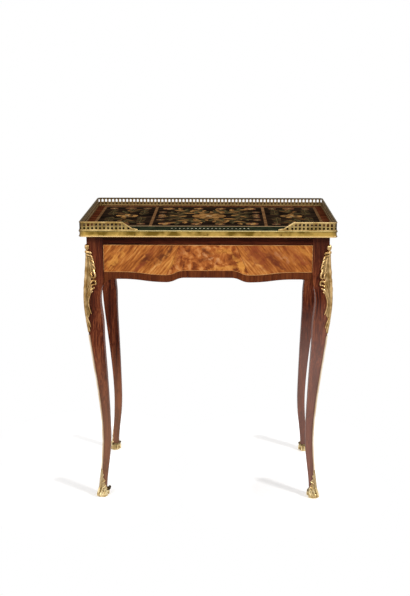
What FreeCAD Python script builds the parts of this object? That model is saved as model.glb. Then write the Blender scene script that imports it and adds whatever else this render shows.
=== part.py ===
import FreeCAD
import Part
import math
import os

import Sketcher

# Writing table with cabriole legs, one frieze drawer and a brass gallery.
# Millimetres. Origin on the floor under the middle of the table, +Z up, front towards -Y.

SIZES = {
    # whole table
    "table_width": 637,
    "table_depth": 413,
    "frieze_top": 702,
    "overhang": 17.5,
    "fit_gap": 0.15,
    "running_gap": 0.5,
    # top
    "core_thickness": 15,
    "veneer_thickness": 1,
    "rim_width": 6,
    "rim_corner": 10,
    "rim_bead": 3.4,
    "rim_lip": 3,
    "rim_ease": 0.8,
    "rim_hollow": 0.8,
    "rim_set_back": 1.2,
    "border_width": 18,
    "front_border_width": 60,
    "stringing_width": 7.5,
    "center_panel_width": 285,
    # gallery
    "gallery_height": 22,
    "gallery_thickness": 1.8,
    "gallery_inset": 2,
    "gallery_top_rail": 3.6,
    "opening_height": 9.8,
    "opening_width": 5.2,
    "opening_pitch": 10,
    "return_length": 111,
    "ramp_length": 23,
    "tail_length": 12,
    "tail_height": 4,
    # legs
    "post_width": 41,
    "post_length": 52,
    "swell_length": 57,
    "swell_reach": 3.8,
    "knee_drop": 30,
    "knee_reach": 6.5,
    "knee_width": 40.5,
    "ankle_height": 160,
    "ankle_inset": 43.5,
    "ankle_width": 20.5,
    "foot_inset": 35,
    "foot_width": 16,
    "foot_bottom": 5,
    # rails
    "rail_thickness": 18,
    "frieze_height": 105.5,
    "apron_dip": 11.5,
    "apron_shoulder": 3.5,
    "front_flat": 58,
    "front_dip_at": 104,
    "front_shoulder": 45,
    "side_flat": 22,
    "side_dip_at": 55,
    "side_shoulder": 30,
    "top_rail_height": 22,
    "top_rail_depth": 40,
    "bottom_rail_height": 12.5,
    "bottom_rail_recess": 2,
    "tenon_thickness": 8,
    "tenon_length": 24,
    "tenon_height": 60,
    "tenon_set_in": 5,
    "tenon_top": 14,
    "peg_diameter": 6,
    "peg_set_back": 12,
    "peg_spacing": 30,
    "peg_end_wall": 2,
    "peg_step": 8,
    "stub_length": 15,
    "stub_thickness": 7,
    "stub_shoulder": 3,
    "dovetail_length": 20,
    "dovetail_width": 20,
    "dovetail_flare": 3,
    "dovetail_depth": 12,
    "ear_length": 25,
    "ear_height": 27,
    # drawer carriage
    "runner_width": 50,
    "guide_height": 14,
    "kicker_width": 38,
    "stop_length": 12,
    "stop_width": 20,
    "stop_height": 10,
    "glue_block_side": 15,
    "glue_block_length": 50,
    "glue_block_pitch": 170,
    # drawer
    "drawer_front_thickness": 17,
    "banding_width": 18,
    "drawer_side_thickness": 9.5,
    "drawer_back_thickness": 8,
    "drawer_bottom_thickness": 6,
    "drawer_bottom_rise": 6,
    "drawer_groove": 5,
    "tail_depth": 8,
    "tail_wide": 16,
    "tail_narrow": 12,
    "tail_pitch": 21,
    # bronze mounts
    "chute_top_gap": 26,
    "chute_thickness": 5,
    "chute_shoulder": 20,
    "chute_shoulder_drop": 62,
    "chute_wide": 31,
    "chute_waist": 12,
    "chute_leaf": 14,
    "chute_tip": 4,
    "fillet_width": 3.6,
    "fillet_thickness": 1.3,
    "shoe_height": 21,
    "shoe_collar": 2,
    "shoe_instep_height": 14,
    "shoe_instep_inset": 31.5,
    "shoe_instep_width": 23,
    "shoe_toe_height": 7,
    "shoe_toe_inset": 26.5,
    "shoe_length": 28,
    "shoe_ease": 7,
    "shoe_tread": 1.5,
    "shoe_fit": 0.3,
    "shoe_leaf_height": 53,
    "shoe_leaf_width": 14,
    "shoe_leaf_tip": 5,
    "shoe_leaf_thickness": 3,
}

doc = FreeCAD.newDocument("WritingTable")
sheet = doc.addObject("Spreadsheet::Sheet", "Sizes")
for row, (name, value) in enumerate(SIZES.items(), start=1):
    sheet.set(f"A{row}", name)
    sheet.set(f"B{row}", str(value))
    sheet.setAlias(f"B{row}", name)
doc.recompute()


class Size:
    """A length kept both as a formula on the sheet and as its value, so it can be bound and drawn."""

    def __init__(self, text, value):
        self.text = text
        self.value = value

    def joined(self, sign, other, value):
        return Size(f"({self.text} {sign} {other.text})", value)

    def __add__(self, other):
        other = as_size(other)
        return self.joined("+", other, self.value + other.value)

    def __sub__(self, other):
        other = as_size(other)
        return self.joined("-", other, self.value - other.value)

    def __mul__(self, other):
        other = as_size(other)
        return self.joined("*", other, self.value * other.value)

    def __truediv__(self, other):
        other = as_size(other)
        return self.joined("/", other, self.value / other.value)

    def __neg__(self):
        return as_size(0) - self

    __radd__ = __add__
    __rmul__ = __mul__


def as_size(number):
    if isinstance(number, Size):
        return number
    return Size(f"({number!r})", float(number))


def size(name):
    return Size(f"Sizes.{name}", float(sheet.get(name)))


def bind(thing, name, amount):
    thing.setExpression(name, as_size(amount).text)


def origin_plane(body, role):
    for feature in body.Origin.OriginFeatures:
        if feature.Role == role:
            return feature
    raise ValueError(f"no {role} in {body.Label}")


def add_sketch(body, name, plane, offset):
    sketch = body.newObject("Sketcher::SketchObject", name)
    sketch.AttachmentSupport = [(origin_plane(body, plane), "")]
    sketch.MapMode = "FlatFace"
    bind(sketch, "AttachmentOffset.Base.z", offset)
    return sketch


def vector(x, y):
    return FreeCAD.Vector(x, y, 0)


def arc_between(start, end, center_x, center_y):
    """The short arc from start to end, and whether it runs backwards. One part of the centre is given."""
    (ax, ay), (bx, by) = start, end
    if center_y is None:
        center_y = ((bx - center_x) ** 2 + by ** 2 - (ax - center_x) ** 2 - ay ** 2) / (2 * (by - ay))
    else:
        center_x = ((by - center_y) ** 2 + bx ** 2 - (ay - center_y) ** 2 - ax ** 2) / (2 * (bx - ax))
    from_angle = math.atan2(ay - center_y, ax - center_x)
    to_angle = math.atan2(by - center_y, bx - center_x)
    radius = math.hypot(ax - center_x, ay - center_y)
    turn = (to_angle - from_angle + math.pi) % (2 * math.pi) - math.pi
    circle = Part.Circle(vector(center_x, center_y), FreeCAD.Vector(0, 0, 1), radius)
    if turn > 0:
        return Part.ArcOfCircle(circle, from_angle, from_angle + turn), False
    return Part.ArcOfCircle(circle, to_angle, to_angle - turn), True


def draw_outline(sketch, points, closed=True):
    """Draw lines and arcs through the points. A point that an arc arrives at has a third entry,
    the x of the arc's centre, or None and then a fourth, its y."""
    corners = [(as_size(point[0]), as_size(point[1])) for point in points]
    centers = [tuple(point[2:]) for point in points]
    places = [(corner[0].value, corner[1].value) for corner in corners]
    count = len(corners)
    ends = []
    for index in range(count if closed else count - 1):
        following = (index + 1) % count
        center = centers[following]
        backwards = False
        if len(center) == 1:
            piece, backwards = arc_between(places[index], places[following], center[0].value, None)
        elif len(center) == 2:
            piece, backwards = arc_between(places[index], places[following], None, center[1].value)
        else:
            piece = Part.LineSegment(vector(*places[index]), vector(*places[following]))
        number = sketch.addGeometry(piece, False)
        ends.append((number, 2, 1) if backwards else (number, 1, 2))
        if center:
            kind = "DistanceX" if len(center) == 1 else "DistanceY"
            place_point(sketch, number, 3, kind, center[-1])
    for index, (number, first, last) in enumerate(ends):
        place_point(sketch, number, first, "DistanceX", corners[index][0])
        place_point(sketch, number, first, "DistanceY", corners[index][1])
        if closed or index + 1 < len(ends):
            following = ends[(index + 1) % len(ends)]
            sketch.addConstraint(Sketcher.Constraint("Coincident", number, last, following[0], following[1]))
    if not closed:
        number, first, last = ends[-1]
        place_point(sketch, number, last, "DistanceX", corners[-1][0])
        place_point(sketch, number, last, "DistanceY", corners[-1][1])


def place_point(sketch, geometry, point, kind, amount):
    constraint = sketch.addConstraint(Sketcher.Constraint(kind, -1, 1, geometry, point, amount.value))
    sketch.setExpression(f"Constraints[{constraint}]", amount.text)


def rectangle(x0, x1, y0, y1):
    return [(x0, y0), (x1, y0), (x1, y1), (x0, y1)]


def new_body(label):
    body = doc.addObject("PartDesign::Body", label)
    body.Label = label
    return body


def plate(label, plane, points, start, thickness):
    """A body padded from an outline: upwards from start on XY, to +X on YZ, to -Y on XZ."""
    body = new_body(label)
    sketch = add_sketch(body, label + "_outline", plane, start)
    draw_outline(sketch, points)
    pad = body.newObject("PartDesign::Pad", label + "_pad")
    pad.Profile = sketch
    bind(pad, "Length", thickness)
    return body


def front_plate(label, points, front, thickness):
    """A plate drawn from the front, whose front face lies at y = front."""
    return plate(label, "XZ_Plane", points, -(front + thickness), thickness)


def box(label, x0, x1, y0, y1, z0, z1):
    block = doc.addObject("Part::Box", label)
    block.Label = label
    bind(block, "Length", as_size(x1) - x0)
    bind(block, "Width", as_size(y1) - y0)
    bind(block, "Height", as_size(z1) - z0)
    bind(block, "Placement.Base.x", x0)
    bind(block, "Placement.Base.y", y0)
    bind(block, "Placement.Base.z", z0)
    return block


PEG_SIDES = 8


def peg_form(label, axis, diameter, length, x, y, z):
    """A peg riven to flat sides, which starts at x, y, z and runs along +X or +Y."""
    turns = {"X": FreeCAD.Rotation(FreeCAD.Vector(0, 1, 0), 90), "Y": FreeCAD.Rotation(FreeCAD.Vector(1, 0, 0), -90)}
    prism = doc.addObject("Part::Prism", label)
    prism.Label = label
    prism.Polygon = PEG_SIDES
    bind(prism, "Circumradius", diameter / 2)
    bind(prism, "Height", length)
    prism.Placement = FreeCAD.Placement(FreeCAD.Vector(), turns[axis])
    bind(prism, "Placement.Base.x", x)
    bind(prism, "Placement.Base.y", y)
    bind(prism, "Placement.Base.z", z)
    return prism


def mirrored(label, source, normal):
    copy = doc.addObject("Part::Mirroring", label)
    copy.Label = label
    copy.Source = source
    copy.Normal = FreeCAD.Vector(*normal)
    return copy


ACROSS = (1, 0, 0)
BACKWARD = (0, 1, 0)


def joined(label, pieces):
    union = doc.addObject("Part::MultiFuse", label)
    union.Label = label
    union.Shapes = pieces
    return union


def group(label, pieces):
    """Several separate solids in one node."""
    bundle = doc.addObject("Part::Compound", label)
    bundle.Label = label
    bundle.Links = pieces
    return bundle


def cut(label, base, tools):
    result = doc.addObject("Part::Cut", label)
    result.Label = label
    result.Base = base
    result.Tool = tools[0] if len(tools) == 1 else group(label + "_cuts", tools)
    return result


nodes = []


def node(thing, label=None):
    """Keep a finished sub-part, under the name of its file."""
    if label:
        thing.Label = label
    nodes.append(thing)
    return thing


# Places that many pieces share
half_width = size("table_width") / 2
half_depth = size("table_depth") / 2
overhang = size("overhang")
fit_gap = size("fit_gap")
running_gap = size("running_gap")
frieze_top = size("frieze_top")
frieze_x = half_width - overhang
frieze_y = half_depth - overhang
post_x = frieze_x - size("post_width")
post_y = frieze_y - size("post_width")
inner_x = frieze_x - size("rail_thickness")
inner_y = frieze_y - size("rail_thickness")
apron_flat = frieze_top - size("frieze_height")
apron_low = apron_flat - size("apron_dip")
apron_end = apron_flat - size("apron_shoulder")
top_rail_bottom = frieze_top - size("top_rail_height")
bottom_rail_bottom = apron_flat + size("bottom_rail_recess")
bottom_rail_top = bottom_rail_bottom + size("bottom_rail_height")
core_top = frieze_top + size("core_thickness")
table_top = core_top + size("veneer_thickness")


# Cabriole leg: the square post swells on its two outer faces towards the knee, the knee swings outward
# under the frieze, and the shin sweeps back in to the ankle and out again to the foot.
def eased(share):
    return share * share * (3 - 2 * share)


swell_top = frieze_top - size("post_length")
knee_top = swell_top - size("swell_length")
knee_height = knee_top - size("knee_drop")
ankle_height = size("ankle_height")
swell_inset = overhang - size("swell_reach")
swell_width = size("post_width") + size("swell_reach")
knee_inset = overhang - size("knee_reach")
STRETCHES = {
    "swell": (swell_top, overhang, size("post_width"), knee_top, swell_inset, swell_width),
    "knee": (knee_top, swell_inset, swell_width, knee_height, knee_inset, size("knee_width")),
    "shin": (knee_height, knee_inset, size("knee_width"), ankle_height, size("ankle_inset"), size("ankle_width")),
    "foot": (ankle_height, size("ankle_inset"), size("ankle_width"),
             size("foot_bottom"), size("foot_inset"), size("foot_width")),
}


def leg_section(stretch, share):
    """Height, inset from the edge of the top and width of the square leg, part of the way down a stretch."""
    top, top_inset, top_width, bottom, bottom_inset, bottom_width = STRETCHES[stretch]
    blend = eased(share)
    height = top - (top - bottom) * share
    inset = top_inset + (bottom_inset - top_inset) * blend
    width = top_width + (bottom_width - top_width) * blend
    return height, inset, width


SWELL_STATIONS = [("swell", 0), ("swell", 0.5), ("swell", 1)]
LEG_STATIONS = [("knee", 0), ("knee", 0.5), ("knee", 1)]
LEG_STATIONS += [("shin", step / 6) for step in range(1, 7)]
LEG_STATIONS += [("foot", step / 3) for step in range(1, 4)]


def corner_square(inset, width):
    """A square on the front left corner, its outer corner inset from the edges of the top."""
    x = inset - half_width
    y = inset - half_depth
    return rectangle(x, x + width, y, y + width)


def squares(sections):
    """Heights and outlines for a loft, from sections given as height, inset and width."""
    return [(height, corner_square(inset, width)) for height, inset, width in sections]


def add_loft(body, label, sections):
    """Loft smoothly through outlines, each given with its height."""
    sketches = []
    for number, (height, points) in enumerate(sections):
        sketch = add_sketch(body, f"{label}_section_{number}", "XY_Plane", height)
        draw_outline(sketch, points)
        sketches.append(sketch)
    feature = body.newObject("PartDesign::AdditiveLoft", label + "_loft")
    feature.Profile = sketches[0]
    feature.Sections = sketches[1:]


def loft(label, sections):
    body = new_body(label)
    add_loft(body, label, sections)
    return body


def grown(stations, grow):
    sections = []
    for height, inset, width in [leg_section(*station) for station in stations]:
        sections.append((height, inset - grow, width + 2 * grow))
    return sections


def leg_form(label, grow):
    """The whole leg, made larger all round by grow where it stands for the room that a fitting needs."""
    lower = grown(LEG_STATIONS, grow)
    height, inset, width = lower[-1]
    lower[-1] = (height - grow, inset, width)
    body = loft(label, squares(lower))
    add_loft(body, label + "_swell", squares(grown(SWELL_STATIONS, grow)))
    post = add_sketch(body, label + "_post_section", "XY_Plane", swell_top)
    draw_outline(post, corner_square(overhang - grow, size("post_width") + 2 * grow))
    pad = body.newObject("PartDesign::Pad", label + "_post")
    pad.Profile = post
    bind(pad, "Length", size("post_length"))
    return body


leg_blank = leg_form("leg_blank", as_size(0))
leg_room = leg_form("leg_room", fit_gap)
leg_blanks = {("front", "left"): leg_blank}
leg_blanks["front", "right"] = mirrored("leg_blank_right", leg_blank, ACROSS)
leg_blanks["back", "left"] = mirrored("leg_blank_back", leg_blank, BACKWARD)
leg_blanks["back", "right"] = mirrored("leg_blank_back_right", leg_blanks["back", "left"], ACROSS)


# Rail joints: each tenon is drawn once as a box on the left or front side, mirrored for the other end,
# and drawn again with the fit gap all round as its mortise.
tenon_high = frieze_top - size("tenon_top")
tenon_low = tenon_high - size("tenon_height")
tenon_in = size("tenon_set_in")
tenon_back = tenon_in + size("tenon_thickness")
tenon_reach = size("tenon_length")


def side_tenon(label, grow):
    x = -frieze_x
    return box(label, x + tenon_in - grow, x + tenon_back + grow, -post_y - tenon_reach - grow, -post_y + fit_gap,
               tenon_low - grow, tenon_high + grow)


def back_tenon(label, grow):
    return box(label, -post_x - tenon_reach - grow, -post_x + fit_gap, frieze_y - tenon_back - grow,
               frieze_y - tenon_in + grow, tenon_low - grow, tenon_high + grow)


stub_shoulder = size("stub_shoulder")
stub_low = bottom_rail_bottom + (size("bottom_rail_height") - size("stub_thickness")) / 2
front_rail_y = -frieze_y + size("drawer_front_thickness") + size("veneer_thickness") + running_gap


def stub_tenon(label, grow):
    return box(label, -post_x - size("stub_length") - grow, -post_x + fit_gap, front_rail_y + stub_shoulder - grow,
               -post_y - stub_shoulder + grow, stub_low - grow, stub_low + size("stub_thickness") + grow)


def dovetail(label, grow):
    """Lapped dovetail of the front top rail, let into the top of the post."""
    x = -post_x + fit_gap
    end = -post_x - size("dovetail_length") - grow
    middle = -frieze_y + size("top_rail_depth") / 2
    narrow = size("dovetail_width") / 2 + grow
    wide = narrow + size("dovetail_flare")
    low = frieze_top - size("dovetail_depth") - grow
    points = [(x, middle - narrow), (x, middle + narrow), (end, middle + wide), (end, middle - wide)]
    return plate(label, "XY_Plane", points, low, size("dovetail_depth") + grow)


# Wooden pegs, driven from the inner side of each post through the tenon
peg_length = size("post_width") - size("peg_end_wall")
peg_heights = [tenon_low + size("tenon_height") / 2 - size("peg_spacing") / 2]
peg_heights.append(peg_heights[0] + size("peg_spacing"))
back_peg_shift = size("peg_step")


def side_pegs(label, grow):
    pegs = []
    for number, height in enumerate(peg_heights):
        diameter = size("peg_diameter") + 2 * grow
        pegs.append(peg_form(f"{label}_{number}", "X", diameter, peg_length + grow,
                             -post_x - peg_length - grow, -post_y - size("peg_set_back"), height))
    return pegs


def back_pegs(label, grow):
    pegs = []
    for number, height in enumerate(peg_heights):
        diameter = size("peg_diameter") + 2 * grow
        pegs.append(peg_form(f"{label}_{number}", "Y", diameter, peg_length + grow,
                             -post_x - size("peg_set_back"), post_y, height - back_peg_shift))
    return pegs


side_mortise = side_tenon("side_mortise", fit_gap)
back_mortise = back_tenon("back_mortise", fit_gap)
stub_mortise = stub_tenon("stub_mortise", fit_gap)
dovetail_socket = dovetail("dovetail_socket", fit_gap)
side_peg_holes = side_pegs("side_peg_hole", fit_gap)
back_peg_holes = back_pegs("back_peg_hole", fit_gap)


def on_side(label, things, side):
    if side == "left":
        return things
    return [mirrored(f"{label}_{number}", thing, ACROSS) for number, thing in enumerate(things)]


side_cuts = [side_mortise] + side_peg_holes
front_leg_cuts = side_cuts + [stub_mortise, dovetail_socket]
rear_side_cuts = [mirrored(f"rear_cut_{number}", thing, BACKWARD) for number, thing in enumerate(side_cuts)]
back_leg_cuts = rear_side_cuts + [back_mortise] + back_peg_holes
for side in ("left", "right"):
    tools = on_side("front_leg_cut", front_leg_cuts, side)
    node(cut(f"leg_front_{side}", leg_blanks["front", side], tools))
for side in ("left", "right"):
    tools = on_side("back_leg_cut", back_leg_cuts, side)
    node(cut(f"leg_back_{side}", leg_blanks["back", side], tools))


# Scalloped lower edge shared by the drawer front and the rails: flat in the middle, down in an S to a dip,
# and up in a longer S to a level shoulder beside the leg.
def s_curve(x0, z0, x1, z1):
    middle_x = (x0 + x1) / 2
    middle_z = (z0 + z1) / 2
    return [(middle_x, middle_z, x0), (x1, z1, x1)]


def apron_edge(end, flat, dip_at, shoulder, lift):
    """Lower edge from the left end to the right end, raised by lift."""
    level = apron_flat + lift
    low = apron_low + lift
    ends = apron_end + lift
    rise = end - shoulder
    edge = [(-end, ends), (-rise, ends)]
    edge += s_curve(-rise, ends, -dip_at, low)
    edge += s_curve(-dip_at, low, -flat, level)
    edge += [(flat, level)]
    edge += s_curve(flat, level, dip_at, low)
    edge += s_curve(dip_at, low, rise, ends)
    edge += [(end, ends)]
    return edge


def frieze_outline(end, flat, dip_at, shoulder, top, lift=0):
    return apron_edge(end, flat, dip_at, shoulder, as_size(lift)) + [(end, top), (-end, top)]


def traced_back(edge):
    """The same edge run the other way, with each arc's centre moved to the point it now arrives at."""
    back = []
    for index in range(len(edge) - 1, -1, -1):
        point = edge[index]
        after = edge[index + 1] if index + 1 < len(edge) else point
        back.append(point[:2] + after[2:])
    return back


def band_outline(edge):
    """The strip of crossbanding along the scalloped edge."""
    return apron_edge(*edge, as_size(0)) + traced_back(apron_edge(*edge, banding - fit_gap))


veneer = size("veneer_thickness")
banding = size("banding_width")
side_edge = (post_y - fit_gap, size("side_flat"), size("side_dip_at"), size("side_shoulder"))
back_edge = (post_x - fit_gap, size("front_flat"), size("front_dip_at"), size("front_shoulder"))

# Side rails and back rail, tenoned into the posts, with the peg holes through their tenons
rail_core = size("rail_thickness") - veneer
side_board = plate("side_rail_board", "YZ_Plane", frieze_outline(*side_edge, frieze_top), -frieze_x + veneer,
                   rail_core)
side_front_tenon = side_tenon("side_tenon", as_size(0))
side_back_tenon = mirrored("side_tenon_back", side_front_tenon, BACKWARD)
side_rail_form = joined("side_rail_form", [side_board, side_front_tenon, side_back_tenon])
rear_peg_holes = rear_side_cuts[1:]
side_rail = node(cut("side_rail_left", side_rail_form, side_peg_holes + rear_peg_holes))
node(mirrored("side_rail_right", side_rail, ACROSS))

back_board = front_plate("back_rail_board", frieze_outline(*back_edge, frieze_top), inner_y, rail_core)
back_left_tenon = back_tenon("back_tenon", as_size(0))
back_right_tenon = mirrored("back_tenon_right", back_left_tenon, ACROSS)
back_rail_form = joined("back_rail_form", [back_board, back_left_tenon, back_right_tenon])
node(cut("back_rail", back_rail_form, back_peg_holes + on_side("back_rail_peg_hole", back_peg_holes, "right")))

# Veneers of the side and back rails: a light field, a crossbanding along the scalloped edge, and a dark
# band at the top that carries on the line of the front top rail
field_top = top_rail_bottom - running_gap
side_veneer = node(plate("side_veneer_left", "YZ_Plane", frieze_outline(*side_edge, field_top, banding), -frieze_x,
                         veneer))
node(mirrored("side_veneer_right", side_veneer, ACROSS))
side_low_band = plate("side_low_band", "YZ_Plane", band_outline(side_edge), -frieze_x, veneer)
side_top_band = box("side_top_band", -frieze_x, -frieze_x + veneer, -side_edge[0], side_edge[0],
                    field_top + fit_gap, frieze_top)
side_banding = node(group("side_banding_left", [side_low_band, side_top_band]))
node(mirrored("side_banding_right", side_banding, ACROSS))
back_face = frieze_y - veneer
node(front_plate("back_veneer", frieze_outline(*back_edge, field_top, banding), back_face, veneer))
back_low_band = front_plate("back_low_band", band_outline(back_edge), back_face, veneer)
back_top_band = box("back_top_band", -back_edge[0], back_edge[0], back_face, frieze_y, field_top + fit_gap, frieze_top)
node(group("back_banding", [back_low_band, back_top_band]))

# Front rails: the upper one shows as the dark band over the drawer, the lower one hides behind the apron
top_rail_bar = box("front_top_rail_bar", -post_x + fit_gap, post_x - fit_gap, -frieze_y,
                   -frieze_y + size("top_rail_depth"), top_rail_bottom, frieze_top)
left_dovetail = dovetail("front_top_rail_dovetail", as_size(0))
right_dovetail = mirrored("front_top_rail_dovetail_right", left_dovetail, ACROSS)
node(joined("front_top_rail", [top_rail_bar, left_dovetail, right_dovetail]))
bottom_rail_bar = box("front_bottom_rail_bar", -post_x + fit_gap, post_x - fit_gap, front_rail_y, -post_y,
                      bottom_rail_bottom, bottom_rail_top)
left_stub = stub_tenon("front_bottom_rail_stub", as_size(0))
right_stub = mirrored("front_bottom_rail_stub_right", left_stub, ACROSS)
node(joined("front_bottom_rail", [bottom_rail_bar, left_stub, right_stub]))

# Pegs of all the mortise and tenon joints
front_pegs = side_pegs("side_peg", as_size(0))
rear_pegs = [mirrored(f"rear_side_peg_{number}", peg, BACKWARD) for number, peg in enumerate(front_pegs)]
left_pegs = front_pegs + rear_pegs + back_pegs("back_peg", as_size(0))
node(group("tenon_pegs", left_pegs + on_side("right_peg", left_pegs, "right")))

# Ears that carry the line of the frieze into the knees, two on each side of the table
ear_top = apron_end - running_gap
ear_low = ear_top - size("ear_height")
knee_side = size("knee_reach")


def ear_outline(post, tip):
    return [(-post - knee_side * 2, ear_top), (-post - knee_side * 2, ear_low), (-post - knee_side, ear_low),
            (tip, ear_top, tip)]


front_ear = front_plate("front_ear", ear_outline(post_x, -post_x + size("ear_length")), -frieze_y,
                        size("rail_thickness"))
side_ear = plate("side_ear", "YZ_Plane", ear_outline(post_y, -post_y + size("ear_length")), -frieze_x,
                 size("rail_thickness"))
ears = [cut("front_ear_left", front_ear, [leg_room]), cut("side_ear_left", side_ear, [leg_room])]
ears += [mirrored(f"{ear.Label}_back", ear, BACKWARD) for ear in ears]
node(group("knee_blocks", ears + on_side("right_ear", ears, "right")))

# Carriage of the drawer: runners below, guides beside, kickers above, and stops behind
runner_x = inner_x - size("runner_width")
tongue_x = post_x - fit_gap
runner_points = [(-inner_x, -post_y), (-runner_x, -post_y), (-runner_x, inner_y), (-tongue_x, inner_y),
                 (-tongue_x, post_y - fit_gap), (-inner_x, post_y - fit_gap)]
runner = node(plate("drawer_runner_left", "XY_Plane", runner_points, bottom_rail_bottom, size("bottom_rail_height")))
node(mirrored("drawer_runner_right", runner, ACROSS))
guide = node(box("drawer_guide_left", -inner_x, -post_x, -post_y + fit_gap, post_y - fit_gap,
                 bottom_rail_top, bottom_rail_top + size("guide_height")))
node(mirrored("drawer_guide_right", guide, ACROSS))
kicker = node(box("drawer_kicker_left", -inner_x, -inner_x + size("kicker_width"), -post_y + fit_gap,
                  post_y - fit_gap, top_rail_bottom, frieze_top))
node(mirrored("drawer_kicker_right", kicker, ACROSS))
stop_front = inner_y - size("stop_length")
stop = box("drawer_stop_left", -tongue_x, -tongue_x + size("stop_width"), stop_front, inner_y,
           bottom_rail_top, bottom_rail_top + size("stop_height"))
node(group("drawer_stops", [stop, mirrored("drawer_stop_right", stop, ACROSS)]))

# Glue blocks that hold the top to the back rail
blocks = []
for place in (-1, 0, 1):
    block_x = size("glue_block_pitch") * place
    reach = size("glue_block_length") / 2
    blocks.append(box(f"glue_block_{place + 2}", block_x - reach, block_x + reach, inner_y - size("glue_block_side"),
                      inner_y, frieze_top - size("glue_block_side"), frieze_top))
node(group("glue_blocks", blocks))

# Drawer: shaped front, dovetailed sides, back, and a bottom that slides into grooves
drawer_x = post_x - running_gap
drawer_top = top_rail_bottom - running_gap
drawer_face = -frieze_y + size("veneer_thickness")
drawer_front_back = drawer_face + size("drawer_front_thickness")
side_outer = drawer_x
side_inner = side_outer - size("drawer_side_thickness")
drawer_rear = stop_front - running_gap
side_low = bottom_rail_top + running_gap
bottom_low = side_low + size("drawer_bottom_rise")
bottom_high = bottom_low + size("drawer_bottom_thickness")
groove_x = side_inner + size("drawer_groove")
front_edge = (drawer_x, size("front_flat"), size("front_dip_at"), size("front_shoulder"))


def drawer_tails(label, grow):
    """Three dovetail tails on the front end of the left drawer side."""
    middle = (side_low + drawer_top) / 2
    end = drawer_front_back - size("tail_depth") - grow
    root = drawer_front_back
    narrow = size("tail_narrow") / 2 + grow
    wide = size("tail_wide") / 2 + grow
    thickness = size("drawer_side_thickness") + grow
    tails = []
    for place in (-1, 0, 1):
        height = middle + size("tail_pitch") * place
        points = [(root, height - narrow), (root, height + narrow), (end, height + wide), (end, height - wide)]
        tails.append(plate(f"{label}_{place + 2}", "YZ_Plane", points, -side_outer, thickness))
    return tails


front_board = front_plate("drawer_front_board", frieze_outline(*front_edge, drawer_top), drawer_face,
                          size("drawer_front_thickness"))
front_groove = box("drawer_front_groove", -groove_x - fit_gap, groove_x + fit_gap,
                   drawer_front_back - size("drawer_groove") - fit_gap, drawer_front_back,
                   bottom_low - fit_gap, bottom_high + fit_gap)
tail_sockets = drawer_tails("tail_socket", fit_gap)
front_cuts = [front_groove] + tail_sockets + on_side("tail_socket_right", tail_sockets, "right")
node(cut("drawer_front", front_board, front_cuts))

side_panel = box("drawer_side_board", -side_outer, -side_inner, drawer_front_back, drawer_rear, side_low, drawer_top)
side_form = joined("drawer_side_form", [side_panel] + drawer_tails("drawer_tail", as_size(0)))
side_groove = box("drawer_side_groove", -groove_x - fit_gap, -side_inner, drawer_front_back - size("tail_depth"),
                  drawer_rear, bottom_low - fit_gap, bottom_high + fit_gap)
drawer_side = node(cut("drawer_side_left", side_form, [side_groove]))
node(mirrored("drawer_side_right", drawer_side, ACROSS))
node(box("drawer_back", -side_inner + fit_gap, side_inner - fit_gap, drawer_rear - size("drawer_back_thickness"),
         drawer_rear, bottom_high + fit_gap, drawer_top))
node(box("drawer_bottom", -groove_x, groove_x, drawer_front_back - size("drawer_groove"), drawer_rear,
         bottom_low, bottom_high))

# Veneers on the drawer front: a light field, and a crossbanding that follows the scalloped edge
field = frieze_outline(*front_edge, drawer_top, banding)
node(front_plate("drawer_front_veneer", field, -frieze_y, veneer))
node(front_plate("drawer_front_banding", band_outline(front_edge), -frieze_y, veneer))


# Top: a core board inside the brass rim, with the veneers laid flush with the rim
def rounded_rectangle(x, y, corner):
    return [(-x + corner, -y), (x - corner, -y), (x, -y + corner, x - corner), (x, y - corner),
            (x - corner, y, x - corner), (-x + corner, y), (-x, y - corner, -x + corner), (-x, -y + corner),
            (-x + corner, -y, -x + corner)]


core_x = half_width - size("rim_width") - fit_gap
core_y = half_depth - size("rim_width") - fit_gap
core_corner = size("rim_corner") - size("rim_width")
core_outline = rounded_rectangle(core_x, core_y, core_corner)[:-1]
core_outline[0] = (-core_x + core_corner, -core_y, -core_x + core_corner)
node(plate("top_board", "XY_Plane", core_outline, frieze_top, size("core_thickness")))

string = size("stringing_width")
field_x = core_x - size("border_width")
field_back = core_y - size("border_width")
field_front = -core_y + size("front_border_width")
border_blank = plate("top_border_blank", "XY_Plane", core_outline, core_top, veneer)
border_opening = box("top_border_opening", -field_x, field_x, field_front, field_back, frieze_top, table_top + veneer)
node(cut("top_crossbanding", border_blank, [border_opening]))

panel_x = field_x - string
panel_back = field_back - string
panel_front = field_front + string
divider_x = size("center_panel_width") / 2
string_blank = box("top_stringing_blank", -field_x + fit_gap, field_x - fit_gap, field_front + fit_gap,
                   field_back - fit_gap, core_top, table_top)
panel_openings = []
for label, left, right in (("left", -panel_x, -divider_x - string), ("center", -divider_x, divider_x),
                           ("right", divider_x + string, panel_x)):
    panel_openings.append(box(f"top_opening_{label}", left, right, panel_front, panel_back, frieze_top,
                              table_top + veneer))
    node(box(f"top_veneer_{label}", left + fit_gap, right - fit_gap, panel_front + fit_gap, panel_back - fit_gap,
             core_top, table_top))
node(cut("top_stringing", string_blank, panel_openings))

# Brass rim: a moulding with a bead below, a hollow face and a flat lip above. The front and back lengths turn
# the corners, and the side lengths lie between them.
rim_width = size("rim_width")
rim_set = size("rim_set_back")
rim_corner = size("rim_corner")


def bulge_radius(chord, rise):
    return (chord * chord / 4 + rise * rise) / (rise * 2)


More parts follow.
